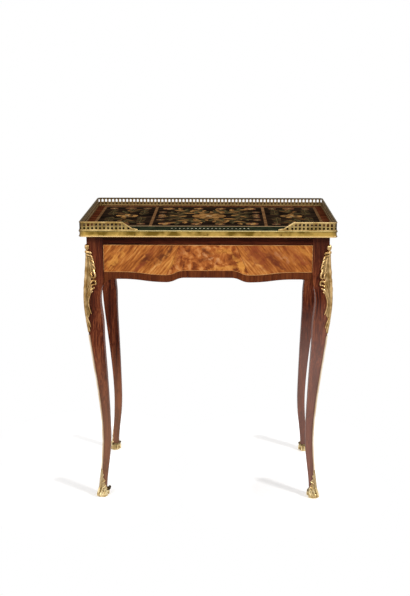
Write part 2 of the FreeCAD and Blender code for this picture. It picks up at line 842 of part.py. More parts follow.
def rim_profile():
    """Profile of the rim on the left side: inner foot, bead, hollow face, flat lip, inner top."""
    edge = -half_width
    bead, lip, hollow, ease = size("rim_bead"), size("rim_lip"), size("rim_hollow"), size("rim_ease")
    bead_top = frieze_top + bead
    lip_bottom = table_top - lip
    face = edge + rim_set
    inner = edge + rim_width
    hollow_radius = bulge_radius(lip_bottom - bead_top, hollow)
    return [(inner, frieze_top), (face, frieze_top), (face, bead_top, edge + bulge_radius(bead, rim_set)),
            (face, lip_bottom, face + hollow - hollow_radius), (edge, lip_bottom),
            (edge, table_top - ease), (edge + ease, table_top), (inner, table_top)]


def corner_path(sketch, sign):
    """Path of a front (sign -1) or back (sign 1) length round both corners, on the outer edge."""
    x = half_width
    y = half_depth * sign
    turn = (half_depth - rim_corner) * sign
    points = [(-x, turn), (-x + rim_corner, y, -x + rim_corner), (x - rim_corner, y), (x, turn, x - rim_corner)]
    draw_outline(sketch, points, closed=False)


for label, sign in (("front", -1), ("back", 1)):
    body = new_body(f"rim_{label}")
    section = add_sketch(body, f"rim_{label}_profile", "XZ_Plane", -(half_depth - rim_corner) * sign)
    draw_outline(section, rim_profile())
    path = add_sketch(body, f"rim_{label}_path", "XY_Plane", frieze_top)
    corner_path(path, sign)
    pipe = body.newObject("PartDesign::AdditivePipe", f"rim_{label}_pipe")
    pipe.Profile = section
    pipe.Spine = (path, ["Edge1", "Edge2", "Edge3"])
    node(body)
rim_side = node(front_plate("rim_left", rim_profile(), -half_depth + rim_corner, (half_depth - rim_corner) * 2))
node(mirrored("rim_right", rim_side, ACROSS))

# Pierced gallery: thin strips with a row of openings under the top rail. The back strip and the two front
# returns turn the corners, and the side strips lie between them. The returns ramp down to a tail.
strip = size("gallery_thickness")
gallery_x = half_width - size("gallery_inset")
gallery_y = half_depth - size("gallery_inset")
gallery_turn = rim_corner - size("gallery_inset")
straight_x = gallery_x - gallery_turn
straight_y = gallery_y - gallery_turn
opening_top = table_top + size("gallery_height") - size("gallery_top_rail")
opening_low = opening_top - size("opening_height")
pitch = size("opening_pitch")


def pierce(body, label, plane, offset, first, last, along):
    """Cut openings at the pitch, centred between first and last."""
    length = last - first
    count = int((length.value - size("opening_width").value) // pitch.value)
    sketch = add_sketch(body, label + "_opening", plane, offset)
    start = (first + last) / 2 - pitch * (count / 2) - size("opening_width") / 2
    arch = size("opening_width") / 2
    draw_outline(sketch, [(start, opening_low), (start + arch * 2, opening_low),
                          (start + arch * 2, opening_top - arch / 2), (start + arch, opening_top),
                          (start, opening_top - arch / 2)])
    pocket = body.newObject("PartDesign::Pocket", label + "_pocket")
    pocket.Profile = sketch
    pocket.Type = "ThroughAll"
    pocket.SideType = "Symmetric"
    pattern = body.newObject("PartDesign::LinearPattern", label + "_row")
    pattern.Originals = [pocket]
    pattern.Direction = (origin_plane(body, along), [""])
    bind(pattern, "Length", pitch * count)
    pattern.Occurrences = count + 1
    body.Tip = pattern


def back_strip(sign):
    """Plan of a strip along the back (sign 1) or the front (sign -1), with both corners."""
    x, y, turn = gallery_x, gallery_y * sign, straight_y * sign
    inner = y - strip * sign
    return [(-x, turn), (-straight_x, y, -straight_x), (straight_x, y), (x, turn, straight_x),
            (x - strip, turn), (straight_x, inner, straight_x), (-straight_x, inner), (-x + strip, turn, -straight_x)]


gallery_back = plate("gallery_back", "XY_Plane", back_strip(1), table_top, size("gallery_height"))
pierce(gallery_back, "gallery_back", "XZ_Plane", -gallery_y, -straight_x, straight_x, "X_Axis")
node(gallery_back)

gallery_side = plate("gallery_left", "XY_Plane",
                     rectangle(-gallery_x, -gallery_x + strip, -straight_y + fit_gap, straight_y - fit_gap),
                     table_top, size("gallery_height"))
pierce(gallery_side, "gallery_left", "YZ_Plane", -gallery_x, -straight_y, straight_y, "Y_Axis")
node(gallery_side)
node(mirrored("gallery_right", gallery_side, ACROSS))

return_end = -half_width + size("return_length") + size("ramp_length") + size("tail_length")
ramp_low = return_end - size("tail_length")
ramp_high = ramp_low - size("ramp_length")
tail_top = table_top + size("tail_height")
return_plan = [(-gallery_x, -straight_y), (-straight_x, -gallery_y, -straight_x), (return_end, -gallery_y),
               (return_end, -gallery_y + strip), (-straight_x, -gallery_y + strip),
               (-gallery_x + strip, -straight_y, -straight_x)]
gallery_return = plate("gallery_front_left", "XY_Plane", return_plan, table_top, size("gallery_height"))
ramp = add_sketch(gallery_return, "gallery_ramp", "XZ_Plane", gallery_y)
gallery_top = table_top + size("gallery_height")
draw_outline(ramp, [(ramp_high, gallery_top), (ramp_low, tail_top), (return_end + strip, tail_top),
                    (return_end + strip, gallery_top + strip), (ramp_high, gallery_top + strip)])
slope = gallery_return.newObject("PartDesign::Pocket", "gallery_ramp_cut")
slope.Profile = ramp
slope.Type = "ThroughAll"
slope.SideType = "Symmetric"
pierce(gallery_return, "gallery_front_left", "XZ_Plane", gallery_y, -straight_x, ramp_high, "X_Axis")
node(gallery_return)
node(mirrored("gallery_front_right", gallery_return, ACROSS))


# Gilt mounts: each is a loft of squares round the corner of the leg, hollowed by the leg itself, so that
# an angle of bronze or brass is left on the two outer faces.
def mount_section(section, thickness, width):
    height, inset, _ = section
    return height, inset - thickness, thickness + width


def post_section(drop):
    return frieze_top - drop, overhang, size("post_width")


def chute_outline(half):
    """Silhouette of the chute on one face: from outside the leg in to the edge of the bronze, which swells
    from the top to a wide lobe over the knee, narrows to a waist and runs out in a leaf and a tail."""
    outside = -half - size("chute_thickness") * 2
    stations = [
        (post_section(size("chute_top_gap")), size("chute_tip") * 2, False),
        (post_section(size("chute_shoulder_drop")), size("chute_shoulder"), False),
        (leg_section("swell", 0.9), size("chute_wide"), True),
        (leg_section("shin", 0.025), size("chute_waist"), True),
        (leg_section("shin", 0.17), size("chute_leaf"), False),
        (leg_section("shin", 0.28), size("chute_tip"), False),
    ]
    points = []
    for (height, inset, _), width, curved in stations:
        place = -half + inset + width
        if curved:
            last_place, last_height = points[-1][:2]
            points.append(((last_place + place) / 2, (last_height + height) / 2, None, last_height))
            points.append((place, height, None, height))
        else:
            points.append((place, height))
    return [(outside, points[0][1])] + points + [(outside, points[-1][1])]


chute_front = plate("chute_front_silhouette", "XZ_Plane", chute_outline(half_width), as_size(0), half_depth)
chute_side = plate("chute_side_silhouette", "YZ_Plane", chute_outline(half_depth), -half_width, half_width)
chute_skin = leg_form("chute_skin", size("chute_thickness"))
chute_form = doc.addObject("Part::MultiCommon", "chute_form")
chute_form.Shapes = [chute_skin, chute_front, chute_side]
fillet = size("fillet_thickness")
fillet_wide = size("fillet_width")
fillet_sections = [mount_section(leg_section("shin", share), fillet, fillet_wide)
                   for share in (0.285, 0.4, 0.55, 0.7, 0.85, 1)]
leaf_top = size("shoe_height") + size("shoe_leaf_height")


def foot_section(height):
    """Leg at a height between the ankle and the foot's end."""
    run = ankle_height - size("foot_bottom")
    share = (ankle_height - height) / run
    blend = share * share * (3 - 2 * share.value)
    inset = size("ankle_inset") + (size("foot_inset") - size("ankle_inset")) * blend
    width = size("ankle_width") + (size("foot_width") - size("ankle_width")) * blend
    return height, inset, width


fillet_sections += [mount_section(foot_section((ankle_height + leaf_top) / 2), fillet, fillet_wide),
                    mount_section(foot_section(leaf_top + fit_gap), fillet, fillet_wide)]
leaf_sections = [
    mount_section(foot_section(leaf_top), size("shoe_leaf_thickness") / 2, size("shoe_leaf_tip")),
    mount_section(foot_section((leaf_top + size("shoe_height")) / 2), size("shoe_leaf_thickness"),
                  (size("shoe_leaf_tip") + size("shoe_leaf_width")) / 2),
    mount_section(foot_section(size("shoe_height") * 0.9), size("shoe_leaf_thickness"), size("shoe_leaf_width")),
]
collar = size("shoe_collar")
collar_height, collar_inset, collar_width = foot_section(size("shoe_height"))
toe = size("shoe_toe_inset")
tread = size("shoe_tread")
ease = size("shoe_ease")


def eased_square(inset, width, corner):
    """A square on the front left corner of the table, with its own corners cut off."""
    x, y = inset - half_width, inset - half_depth
    far_x, far_y = x + width, y + width
    return [(x + corner, y), (far_x - corner, y), (far_x, y + corner), (far_x, far_y - corner),
            (far_x - corner, far_y), (x + corner, far_y), (x, far_y - corner), (x, y + corner)]


def flat_faced(label, sections):
    """A solid with flat faces between outlines that have their points one above another."""
    rings = []
    for height, points in sections:
        rings.append([FreeCAD.Vector(x.value, y.value, height.value) for x, y in points])
    loops = [rings[0], rings[-1]]
    for upper, lower in zip(rings, rings[1:]):
        for index in range(len(upper)):
            following = (index + 1) % len(upper)
            loops.append([upper[index], upper[following], lower[following], lower[index]])
    shell = Part.Shell([Part.Face(Part.makePolygon(loop + loop[:1])) for loop in loops])
    shell.sewShape()
    feature = doc.addObject("Part::Feature", label)
    feature.Label = label
    feature.Shape = Part.Solid(shell)
    return feature


shoe_sections = [
    (collar_height, eased_square(collar_inset - collar, collar_width + collar * 2, collar)),
    (size("shoe_instep_height"), eased_square(size("shoe_instep_inset"), size("shoe_instep_width"), ease / 2)),
    (size("shoe_toe_height"), eased_square(toe, size("shoe_length"), ease)),
    (as_size(0), eased_square(toe + tread, size("shoe_length") - tread * 2, ease)),
]
shoe_form = joined("shoe_form", [flat_faced("shoe_body", shoe_sections),
                                 flat_faced("shoe_leaf", squares(leaf_sections))])
shoe_fit = size("shoe_fit")
socket_sections = []
for height in (leaf_top + collar, leaf_top, (leaf_top + size("shoe_height")) / 2, size("shoe_height"),
               size("foot_bottom")):
    height, inset, width = foot_section(height)
    socket_sections.append((height, inset - shoe_fit, width + shoe_fit * 2))
lowest, inset, width = socket_sections[-1]
socket_sections[-1] = (lowest - fit_gap, inset, width)
shoe_socket = flat_faced("shoe_socket", squares(socket_sections))
mounts = [
    ("chute", cut("chute_front_left", chute_form, [leg_room])),
    ("leg_fillet", cut("leg_fillet_front_left", loft("fillet_form", squares(fillet_sections)), [leg_room])),
    ("sabot", cut("sabot_front_left", shoe_form, [shoe_socket])),
]
for label, mount in mounts:
    node(mount)
    node(mirrored(f"{label}_front_right", mount, ACROSS))
    rear = node(mirrored(f"{label}_back_left", mount, BACKWARD))
    node(mirrored(f"{label}_back_right", rear, ACROSS))

# Build, check every object, and write one file for each sub-part
doc.recompute()
for thing in doc.Objects:
    if "Invalid" in thing.State or "Error" in thing.State:
        raise RuntimeError(f"{thing.Label} did not build: {thing.State}")
for part in nodes:
    if part.Shape.isNull() or not part.Shape.isValid() or not part.Shape.Solids:
        raise RuntimeError(f"{part.Label} has no valid solid")
os.makedirs("parts", exist_ok=True)
for part in nodes:
    part.Shape.exportStep(f"parts/{part.Label}.step")
    print(part.Label, len(part.Shape.Solids), round(part.Shape.Volume), "mm3")
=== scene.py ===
import math
from functools import partialmethod

import bmesh
import bpy
import numpy
from mathutils import Matrix, Vector
from mathutils.geometry import interpolate_bezier, tessellate_polygon


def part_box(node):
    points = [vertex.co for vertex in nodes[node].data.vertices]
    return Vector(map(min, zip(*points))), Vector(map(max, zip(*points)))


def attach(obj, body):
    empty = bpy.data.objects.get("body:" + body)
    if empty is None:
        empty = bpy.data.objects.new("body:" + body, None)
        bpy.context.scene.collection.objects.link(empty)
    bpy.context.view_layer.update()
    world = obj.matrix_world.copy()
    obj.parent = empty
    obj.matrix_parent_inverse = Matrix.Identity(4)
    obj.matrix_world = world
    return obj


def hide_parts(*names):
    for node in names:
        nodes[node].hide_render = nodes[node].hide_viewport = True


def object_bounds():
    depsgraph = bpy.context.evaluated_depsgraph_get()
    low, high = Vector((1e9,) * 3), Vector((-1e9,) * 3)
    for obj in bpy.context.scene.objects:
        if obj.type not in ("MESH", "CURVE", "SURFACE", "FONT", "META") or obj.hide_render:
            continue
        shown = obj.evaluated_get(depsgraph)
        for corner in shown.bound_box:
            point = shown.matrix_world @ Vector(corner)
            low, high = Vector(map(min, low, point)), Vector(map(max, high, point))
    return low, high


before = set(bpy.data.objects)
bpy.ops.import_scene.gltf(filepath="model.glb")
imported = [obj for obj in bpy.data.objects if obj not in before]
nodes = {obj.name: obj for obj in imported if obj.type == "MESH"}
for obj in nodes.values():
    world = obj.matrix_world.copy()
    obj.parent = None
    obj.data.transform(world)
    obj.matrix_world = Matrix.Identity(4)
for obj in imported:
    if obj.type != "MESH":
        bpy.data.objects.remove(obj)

cad_low, cad_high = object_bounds()
MM = 0.001


# Legs: four cabriole legs, square in section, built up in oak and faced with kingwood veneer.
# The grain runs down the leg, and the edges are eased by hand. Painted light makes the legs paler
# towards the feet, and painted shade darkens their tops under the rim.
def paint(colour):
    """Linear colour from the 0 to 255 values of a colour as it looks."""
    values = []
    for value in colour:
        share = value / 255
        values.append(share / 12.92 if share <= 0.04045 else ((share + 0.055) / 1.055) ** 2.4)
    return (*values, 1.0)


WHITE = (255, 255, 255)


class Look:
    """The nodes of a material or of the world, put together round one shader."""

    def __init__(self, owner, shader="Principled BSDF"):
        owner.use_nodes = True
        self.owner = owner
        self.tree = owner.node_tree
        self.shader = self.tree.nodes[shader]

    def feed(self, socket, value):
        """Link or set an input; a colour is given by the 0 to 255 values that it looks like."""
        if isinstance(value, bpy.types.NodeSocket):
            self.tree.links.new(value, socket)
        elif socket.type == "RGBA":
            socket.default_value = paint(value)
        else:
            socket.default_value = value

    def node(self, kind, inputs, **settings):
        made = self.tree.nodes.new("ShaderNode" + kind)
        for name, value in settings.items():
            setattr(made, name, value)
        for key, value in inputs.items():
            self.feed(made.inputs[key], value)
        return made

    def place(self):
        """Where a point is on the table, in metres."""
        return self.node("TexCoord", {}).outputs["Object"]

    def split(self, vector):
        return self.node("SeparateXYZ", {0: vector}).outputs

    def xyz(self):
        return self.split(self.place())

    def vector(self, x, y, z):
        return self.node("CombineXYZ", {0: x, 1: y, 2: z}).outputs[0]

    def calc(self, operation, first, second=0.0):
        return self.node("Math", {0: first, 1: second}, operation=operation).outputs[0]

    times = partialmethod(calc, "MULTIPLY")
    plus = partialmethod(calc, "ADD")
    minus = partialmethod(calc, "SUBTRACT")
    size = partialmethod(calc, "ABSOLUTE")
    above = partialmethod(calc, "GREATER_THAN")
    below = partialmethod(calc, "LESS_THAN")

    def vectors(self, operation, first, second=(0.0, 0.0, 0.0)):
        """The vector that an operation gives, or its number where it gives one."""
        made = self.node("VectorMath", {0: first, 1: second}, operation=operation)
        return made.outputs[1 if operation in ("LENGTH", "DISTANCE", "DOT_PRODUCT") else 0]

    def noise(self, vector, scale, detail=3.0, roughness=0.55):
        inputs = {"Vector": vector, "Scale": scale, "Detail": detail, "Roughness": roughness}
        return self.node("TexNoise", inputs).outputs[0]

    def ramp(self, value, stops):
        """A run of colours, each stop being its place and its colour."""
        made = self.node("ValToRGB", {0: value})
        elements = made.color_ramp.elements
        while len(elements) < len(stops):
            elements.new(1.0)
        for element, (position, *colour) in zip(elements, stops):
            element.position = position
            element.color = paint(colour)
        return made.outputs[0]

    def spread(self, value, start, end, low=0.0, high=1.0):
        """The value's stretch from start to end spread from low to high, and held beyond it."""
        return self.node("MapRange", {0: value, 1: start, 2: end, 3: low, 4: high}).outputs[0]

    def mix(self, share, first, second):
        """The first number with a share of the second in it."""
        return self.node("Mix", {0: share, 2: first, 3: second}).outputs[0]

    def blend(self, share, first, second, mode="MIX"):
        """The first colour with a share of the second in it."""
        inputs = {0: share, 6: first, 7: second}
        return self.node("Mix", inputs, data_type="RGBA", blend_type=mode).outputs[2]

    def bump(self, height, strength, distance):
        inputs = {"Strength": strength, "Distance": distance, "Height": height}
        self.feed(self.shader.inputs["Normal"], self.node("Bump", inputs).outputs[0])

    def surface(self, **values):
        """Set inputs of the shader, by their names with _ for a space."""
        for name, value in values.items():
            self.feed(self.shader.inputs[name.replace("_", " ")], value)


def turned(look, vector, turn, sizes, spot=(0.0, 0.0, 0.0)):
    """Coordinates from a spot along the grain, in lengths and widths of its figure."""
    inputs = {"Vector": vector, "Location": spot, "Rotation": turn, "Scale": sizes}
    return look.node("Mapping", inputs, vector_type="TEXTURE").outputs[0]


GRAIN_UP = (0.0, -math.pi / 2, 0.0)
GRAIN_ALONG = (0.0, 0.0, 0.0)
WAVES_PER_METRE = 9.0
# streaks and pores across one width of the figure, and pores along one length
STREAKS = 9
PORES = 45
PORE_RUNS = 8


def grain(look, vector, turn, length, width):
    """Broad figure, fine streaks and pores of a veneer whose grain lies along the turned X axis."""
    inputs = {"Vector": vector, "Scale": WAVES_PER_METRE, "Detail": 2.0}
    waves = look.node("TexNoise", inputs).outputs[1]
    inputs = {0: waves, 1: (width, width, width), 2: vector}
    bent = look.node("VectorMath", inputs, operation="MULTIPLY_ADD").outputs[0]
    figure = look.noise(turned(look, bent, turn, (length, width, width)), 1.0)
    streak = width / STREAKS
    streaks = look.noise(turned(look, bent, turn, (length, streak, streak)), 1.0, 4.0)
    pore = width / PORES
    pores = look.noise(turned(look, vector, turn, (length / PORE_RUNS, pore, pore)), 1.0, 2.0)
    return figure, streaks, pores


FIGURE_RANGE = (0.72, 1.28)
PORE_TONES = [(0.34, 218, 212, 206), (0.46, *WHITE)]


def wood(name, tones, length, width, roughness, gloss, turn=GRAIN_ALONG, coords=Look.place, tint=None):
    """A polished wood: tones run from the dark of the figure to its light."""
    look = Look(bpy.data.materials.new(name))
    figure, streaks, pores = grain(look, coords(look), turn, length, width)
    colour = look.ramp(look.spread(look.plus(figure, streaks), *FIGURE_RANGE), tones)
    colour = look.blend(1.0, colour, look.ramp(pores, PORE_TONES), "MULTIPLY")
    if tint:
        colour = tint(look, colour)
    look.surface(Base_Color=colour, Specular_IOR_Level=gloss,
                 Roughness=look.mix(streaks, roughness - 0.06, roughness + 0.1))
    look.bump(look.plus(streaks, pores), 0.12, 0.2 * MM)
    return look.owner


def dress(material, *names):
    for name in names:
        slots = nodes[name].data.materials
        slots.clear()
        slots.append(material)


# heights in metres, at the left and at the right, where the painted light towards the feet and the painted
# shade under the rim begin and end
LIT_START = (0.37, 0.495)
LIT_END = (0.15, 0.335)
# tones of the painted light at the left and at the right, the right's a painted lavender reflection
LIT_TONES = ((162, 122, 98), (158, 124, 114))
RIM_SHADE_START = (0.65, 0.59)
RIM_SHADE_END = 0.7
# how much higher the painted light starts, for each metre to the front
LIT_LEAN = 0.27


def painted_light_and_shade(look, colour):
    """Painted light towards the feet, from higher up at the right and at the front; painted shade on top.
    """
    x, depth, height = look.xyz()
    right = look.above(x, 0.0)
    level = look.plus(height, look.times(depth, LIT_LEAN))
    # painted light, paler towards the feet
    wear_and_light = look.spread(level, look.mix(right, *LIT_START), look.mix(right, *LIT_END), 0.0, 0.42)
    colour = look.blend(wear_and_light, colour, look.blend(right, *LIT_TONES))
    # painted shade under the rim's overhang, starting lower at the right
    rim_shade = look.spread(height, look.mix(right, *RIM_SHADE_START), RIM_SHADE_END, 0.0, 0.7)
    return look.blend(rim_shade, colour, (40, 14, 8))


FRONT_BACK = ("front", "back")
SIDES = ("left", "right")
CORNERS = [f"{depth}_{side}" for depth in FRONT_BACK for side in SIDES]
LEG_TONES = [(0.15, 48, 17, 9), (0.42, 82, 34, 18), (0.60, 102, 47, 26), (0.85, 132, 72, 42)]
# the tint paints light paler towards the feet and shade dark under the rim
leg_wood = wood("kingwood_leg", LEG_TONES, length=0.30, width=0.016, roughness=0.5, gloss=0.07,
                turn=GRAIN_UP, tint=painted_light_and_shade)
for corner in CORNERS:
    dress(leg_wood, f"leg_{corner}")
    bevel = nodes[f"leg_{corner}"].modifiers.new("eased_edges", "BEVEL")
    bevel.width = 0.9 * MM
    bevel.segments = 2
    bevel.limit_method = "ANGLE"
    bevel.angle_limit = math.radians(50)
    bevel.harden_normals = True


# Rails: the frame that joins the legs, oak boards tenoned and pegged into the posts.
# Their faces carry a tulipwood field, a dark crossbanding along the scallop and a dark band above.
def swapped(look):
    """Coordinates with X and Y exchanged, for pieces that run from front to back."""
    x, y, z = look.xyz()
    return look.vector(y, x, z)


def both(stem):
    """The names of the left and the right piece of a pair."""
    return [f"{stem}_{side}" for side in SIDES]


OAK_TONES = [(0.30, 128, 88, 52), (0.5, 164, 122, 78), (0.72, 190, 150, 104)]
BAND_TONES = [(0.1, 72, 30, 12), (0.5, 92, 43, 18), (0.9, 110, 56, 25)]
DARK_TONES = [(0.2, 30, 9, 4), (0.5, 52, 18, 8), (0.8, 80, 34, 16)]
oak, oak_deep = [wood(name, OAK_TONES, length=0.25, width=0.014, roughness=0.6, gloss=0.2, coords=coords)
                 for name, coords in (("oak", Look.place), ("oak_front_to_back", swapped))]
cross_band = wood("kingwood_crossbanding", BAND_TONES, length=0.08, width=0.008, roughness=0.46, gloss=0.07,
                  turn=GRAIN_UP)
dark_band = wood("kingwood_top_band", DARK_TONES, length=0.30, width=0.012, roughness=0.5, gloss=0.04)
dress(oak, "back_rail", "front_bottom_rail", "tenon_pegs")
dress(oak_deep, *both("side_rail"))
dress(dark_band, "front_top_rail")
dress(cross_band, "knee_blocks", "back_banding", *both("side_banding"))

# Field veneers: tulipwood cut from one log and laid in mirrored leaves about the middle of each face.
# The grain slants up towards the middle, with dark feathers and pale knots in the log and a livelier
# middle leaf between two slanting joints, and a light filet of boxwood is let in round the field.
LEAF_GRAIN = (0.0, math.radians(50), 0.0)
MIDDLE_GRAIN = (0.0, math.radians(78), 0.0)
FEATHER_SIZES = (32 * MM, 4.6 * MM, 4.6 * MM)
BURRS_PER_METRE = 75.0
# the joints lie this far out at the floor's level, and come in with the height
JOINT_REACH = 0.375
JOINT_LEAN = 0.45
FIELD_TONES = [(0.08, 112, 54, 18), (0.34, 152, 84, 32), (0.52, 176, 104, 44), (0.70, 194, 124, 58),
               (0.92, 212, 150, 84)]
FIELD_PORES = [(0.34, 212, 200, 188), (0.47, *WHITE)]
MIDDLE_WARMTH = (246, 234, 241)
DARK_FEATHER = (84, 34, 14)
RED_HEART = (134, 62, 32)
PALE_KNOT = (214, 156, 106)
AMBER = (216, 148, 66)
# place along the face and up in mm, half length and half width, slant in degrees, colour and strength
FRONT_MARKS = [
    (-216, 668, 12, 3, 58, DARK_FEATHER, 0.8), (-154, 643, 20, 8, 48, DARK_FEATHER, 0.85),
    (-170, 624, 26, 5, 42, RED_HEART, 0.7), (-98, 661, 24, 6, 55, DARK_FEATHER, 0.9),
    (-119, 645, 16, 9, 40, DARK_FEATHER, 0.8), (-135, 664, 20, 14, 50, RED_HEART, 0.5),
    (-72, 650, 34, 7, 62, RED_HEART, 0.5), (-60, 628, 12, 3, 80, DARK_FEATHER, 0.7),
    (-232, 640, 30, 12, 50, AMBER, 0.6), (-90, 634, 26, 9, 52, AMBER, 0.5),
    (-8, 655, 10, 4, -35, PALE_KNOT, 0.5), (8, 646, 10, 4, 20, PALE_KNOT, 0.5),
    (22, 638, 9, 4, 60, PALE_KNOT, 0.45), (-4, 663, 18, 5, -30, DARK_FEATHER, 0.7),
    (-16, 640, 12, 5, 30, DARK_FEATHER, 0.5), (62, 650, 16, 8, 40, DARK_FEATHER, 0.5),
    (40, 664, 26, 8, 5, AMBER, 0.5), (44, 622, 46, 6, 4, AMBER, 0.5), (82, 626, 24, 9, -58, AMBER, 0.75),
    (118, 656, 40, 22, -50, RED_HEART, 0.6), (160, 644, 22, 8, -42, DARK_FEATHER, 0.9),
    (176, 628, 22, 5, -40, DARK_FEATHER, 0.8), (172, 656, 11, 4, -40, PALE_KNOT, 0.4),
    (187, 648, 10, 4, 10, PALE_KNOT, 0.4), (198, 640, 9, 4, -60, PALE_KNOT, 0.35),
    (226, 646, 34, 7, -38, RED_HEART, 0.6), (238, 664, 30, 6, -36, AMBER, 0.5),
    (150, 644, 80, 40, -45, RED_HEART, 0.35), (210, 660, 60, 24, -40, RED_HEART, 0.3),
]


def marked(look, vector, rough, colour, spot):
    """The colour with one soft-edged mark in the figure of the wood, broken up by the rough value."""
    along, height, length, width, slant, shade, strength = spot
    inside = turned(look, vector, (0.0, -math.radians(slant), 0.0), (length * MM, 1.0, width * MM),
                    (along * MM, 0.0, height * MM))
    away = look.plus(look.vectors("LENGTH", inside), look.spread(rough, 0.3, 0.7, 0.9, -0.9))
    return look.blend(look.spread(away, 1.15, 0.35, 0.0, strength), colour, shade)


def tulipwood(name, across, marks=()):
    """Book-matched field along X (0) or Y (1): slanted leaves, a lively middle leaf and single marks."""
    look = Look(bpy.data.materials.new(name))
    position = look.xyz()
    along, height = position[across], position[2]
    outward = look.size(along)
    leaves = look.vector(outward, 0.0, height)
    figure, streaks, pores = grain(look, leaves, LEAF_GRAIN, length=0.11, width=0.016)
    feathers = look.noise(turned(look, leaves, LEAF_GRAIN, FEATHER_SIZES), 1.0, 2.0)
    outer = look.ramp(look.spread(look.mix(0.5, figure, feathers), 0.34, 0.66), FIELD_TONES)
    flat = look.vector(along, 0.0, height)
    middle_figure, _, _ = grain(look, flat, MIDDLE_GRAIN, length=0.03, width=0.018)
    inputs = {"Vector": flat, "Scale": BURRS_PER_METRE, "Detail": 3.0, "Distortion": 0.7}
    burr = look.node("TexNoise", inputs).outputs[0]
    lively = look.ramp(look.spread(look.mix(0.6, middle_figure, burr), 0.36, 0.64), FIELD_TONES)
    lively = look.blend(1.0, lively, MIDDLE_WARMTH, "MULTIPLY")
    joint = look.minus(look.plus(outward, look.times(height, JOINT_LEAN)), JOINT_REACH)
    colour = look.blend(look.below(joint, 0.0), outer, lively)
    rough = look.mix(0.65, feathers, burr)
    for spot in marks:
        colour = marked(look, flat, rough, colour, spot)
    gap = look.spread(look.size(joint), 0.2 * MM, 1.2 * MM, 0.55, 0.0)
    colour = look.blend(gap, colour, DARK_FEATHER)
    look.surface(Base_Color=look.blend(1.0, colour, look.ramp(pores, FIELD_PORES), "MULTIPLY"),
                 Specular_IOR_Level=0.12, Roughness=look.mix(streaks, 0.32, 0.46))
    look.bump(look.plus(streaks, pores), 0.1, 0.2 * MM)
    return look.owner


dress(tulipwood("tulipwood_sides", across=1), *both("side_veneer"))
dress(tulipwood("tulipwood_back", across=0), "back_veneer")


def field_outline(name, across):
    """Outline of a field's outer face: its scalloped lower edge from one end to the other, then its top."""
    lowest = {}
    for vertex in nodes[name].data.vertices:
        position = round(vertex.co[across], 5)
        lowest[position] = min(vertex.co.z, lowest.get(position, vertex.co.z))
    edge = sorted(lowest.items())
    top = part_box(name)[1].z
    return edge + [(edge[-1][0], top), (edge[0][0], top)]


def inset(outline, width):
    """A closed outline moved inwards; it runs anticlockwise."""
    moved = []
    for index, point in enumerate(outline):
        before = (Vector(point) - Vector(outline[index - 1])).normalized()
        after = (Vector(outline[(index + 1) % len(outline)]) - Vector(point)).normalized()
        inward = Vector((-before.y - after.y, before.x + after.x)).normalized()
        stretch = max(inward.dot(Vector((-before.y, before.x))), 0.5)
        moved.append(tuple(Vector(point) + inward * width / stretch))
    return moved


def add_object(name, data):
    made = bpy.data.objects.new(name, data)
    bpy.context.scene.collection.objects.link(made)
    return made


def add_piece(name, mesh, material, body, slot, *stands_for):
    """Put a finished mesh on the table or the drawer as a piece of its own."""
    mesh.materials.append(material)
    piece = add_object(name, mesh)
    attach(piece, body)
    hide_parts(*stands_for)
    return piece


def band(form, first, second):
    """Close the gap between two rings of points with a band of faces."""
    return [form.faces.new((first[index - 1], first[index], second[index], second[index - 1]))
            for index in range(len(first))]


def to_mesh(form, name):
    """The mesh of a closed form, with its faces turned outwards."""
    bmesh.ops.remove_doubles(form, verts=form.verts, dist=1e-7)
    bmesh.ops.recalc_face_normals(form, faces=form.faces)
    mesh = bpy.data.meshes.new(name)
    form.to_mesh(mesh)
    form.free()
    return mesh


FILET_WIDTH = 1.0 * MM
FILET_PROUD = 0.04 * MM
FILET_DEPTH = 0.3 * MM
FILET_TONES = [(0.2, 158, 100, 48), (0.5, 190, 134, 74), (0.8, 212, 162, 104)]
filet_wood = wood("boxwood_filet", FILET_TONES, length=0.05, width=0.006, roughness=0.4, gloss=0.2)


def add_filet(name, field, across, outward, body):
    """A thin strip of boxwood round a field, whose face looks along outward on the other level axis."""
    outer = field_outline(field, across)
    inner = inset(outer, FILET_WIDTH)
    low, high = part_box(field)
    face = high[1 - across] if outward > 0 else low[1 - across]
    form = bmesh.new()
    rings = []
    for depth, outlines in ((FILET_PROUD, (outer, inner)), (-FILET_DEPTH, (inner, outer))):
        level = face + outward * depth
        for outline in outlines:
            rings.append([form.verts.new((along, level, height) if across == 0 else (level, along, height))
                          for along, height in outline])
    for ring, other in zip(rings, rings[1:] + rings[:1]):
        band(form, ring, other)
    add_piece(name, to_mesh(form, name), filet_wood, body, "boxwood")


add_filet("back_filet", "back_veneer", across=0, outward=1, body="table")
add_filet("side_filet_left", "side_veneer_left", across=1, outward=-1, body="table")
add_filet("side_filet_right", "side_veneer_right", across=1, outward=1, body="table")

# Drawer carriage: oak runners, guides, kickers and stops that carry the drawer, and the glue blocks
# behind the rails. They are planed and left plain, because nothing but the drawer touches them.
dress(oak_deep, *both("drawer_runner"), *both("drawer_guide"), *both("drawer_kicker"))
dress(oak, "drawer_stops", "glue_blocks")

# Drawer: oak sides, back and bottom dovetailed to a thick front. The front carries the tulipwood field,
# a crossbanding along its scalloped edge and a light filet let in round the field.
dress(oak, "drawer_front", "drawer_back", "drawer_bottom")
dress(oak_deep, *both("drawer_side"))
dress(tulipwood("tulipwood_front", across=0, marks=FRONT_MARKS), "drawer_front_veneer")
dress(cross_band, "drawer_front_banding")
add_filet("drawer_filet", "drawer_front_veneer", across=0, outward=-1, body="drawer")

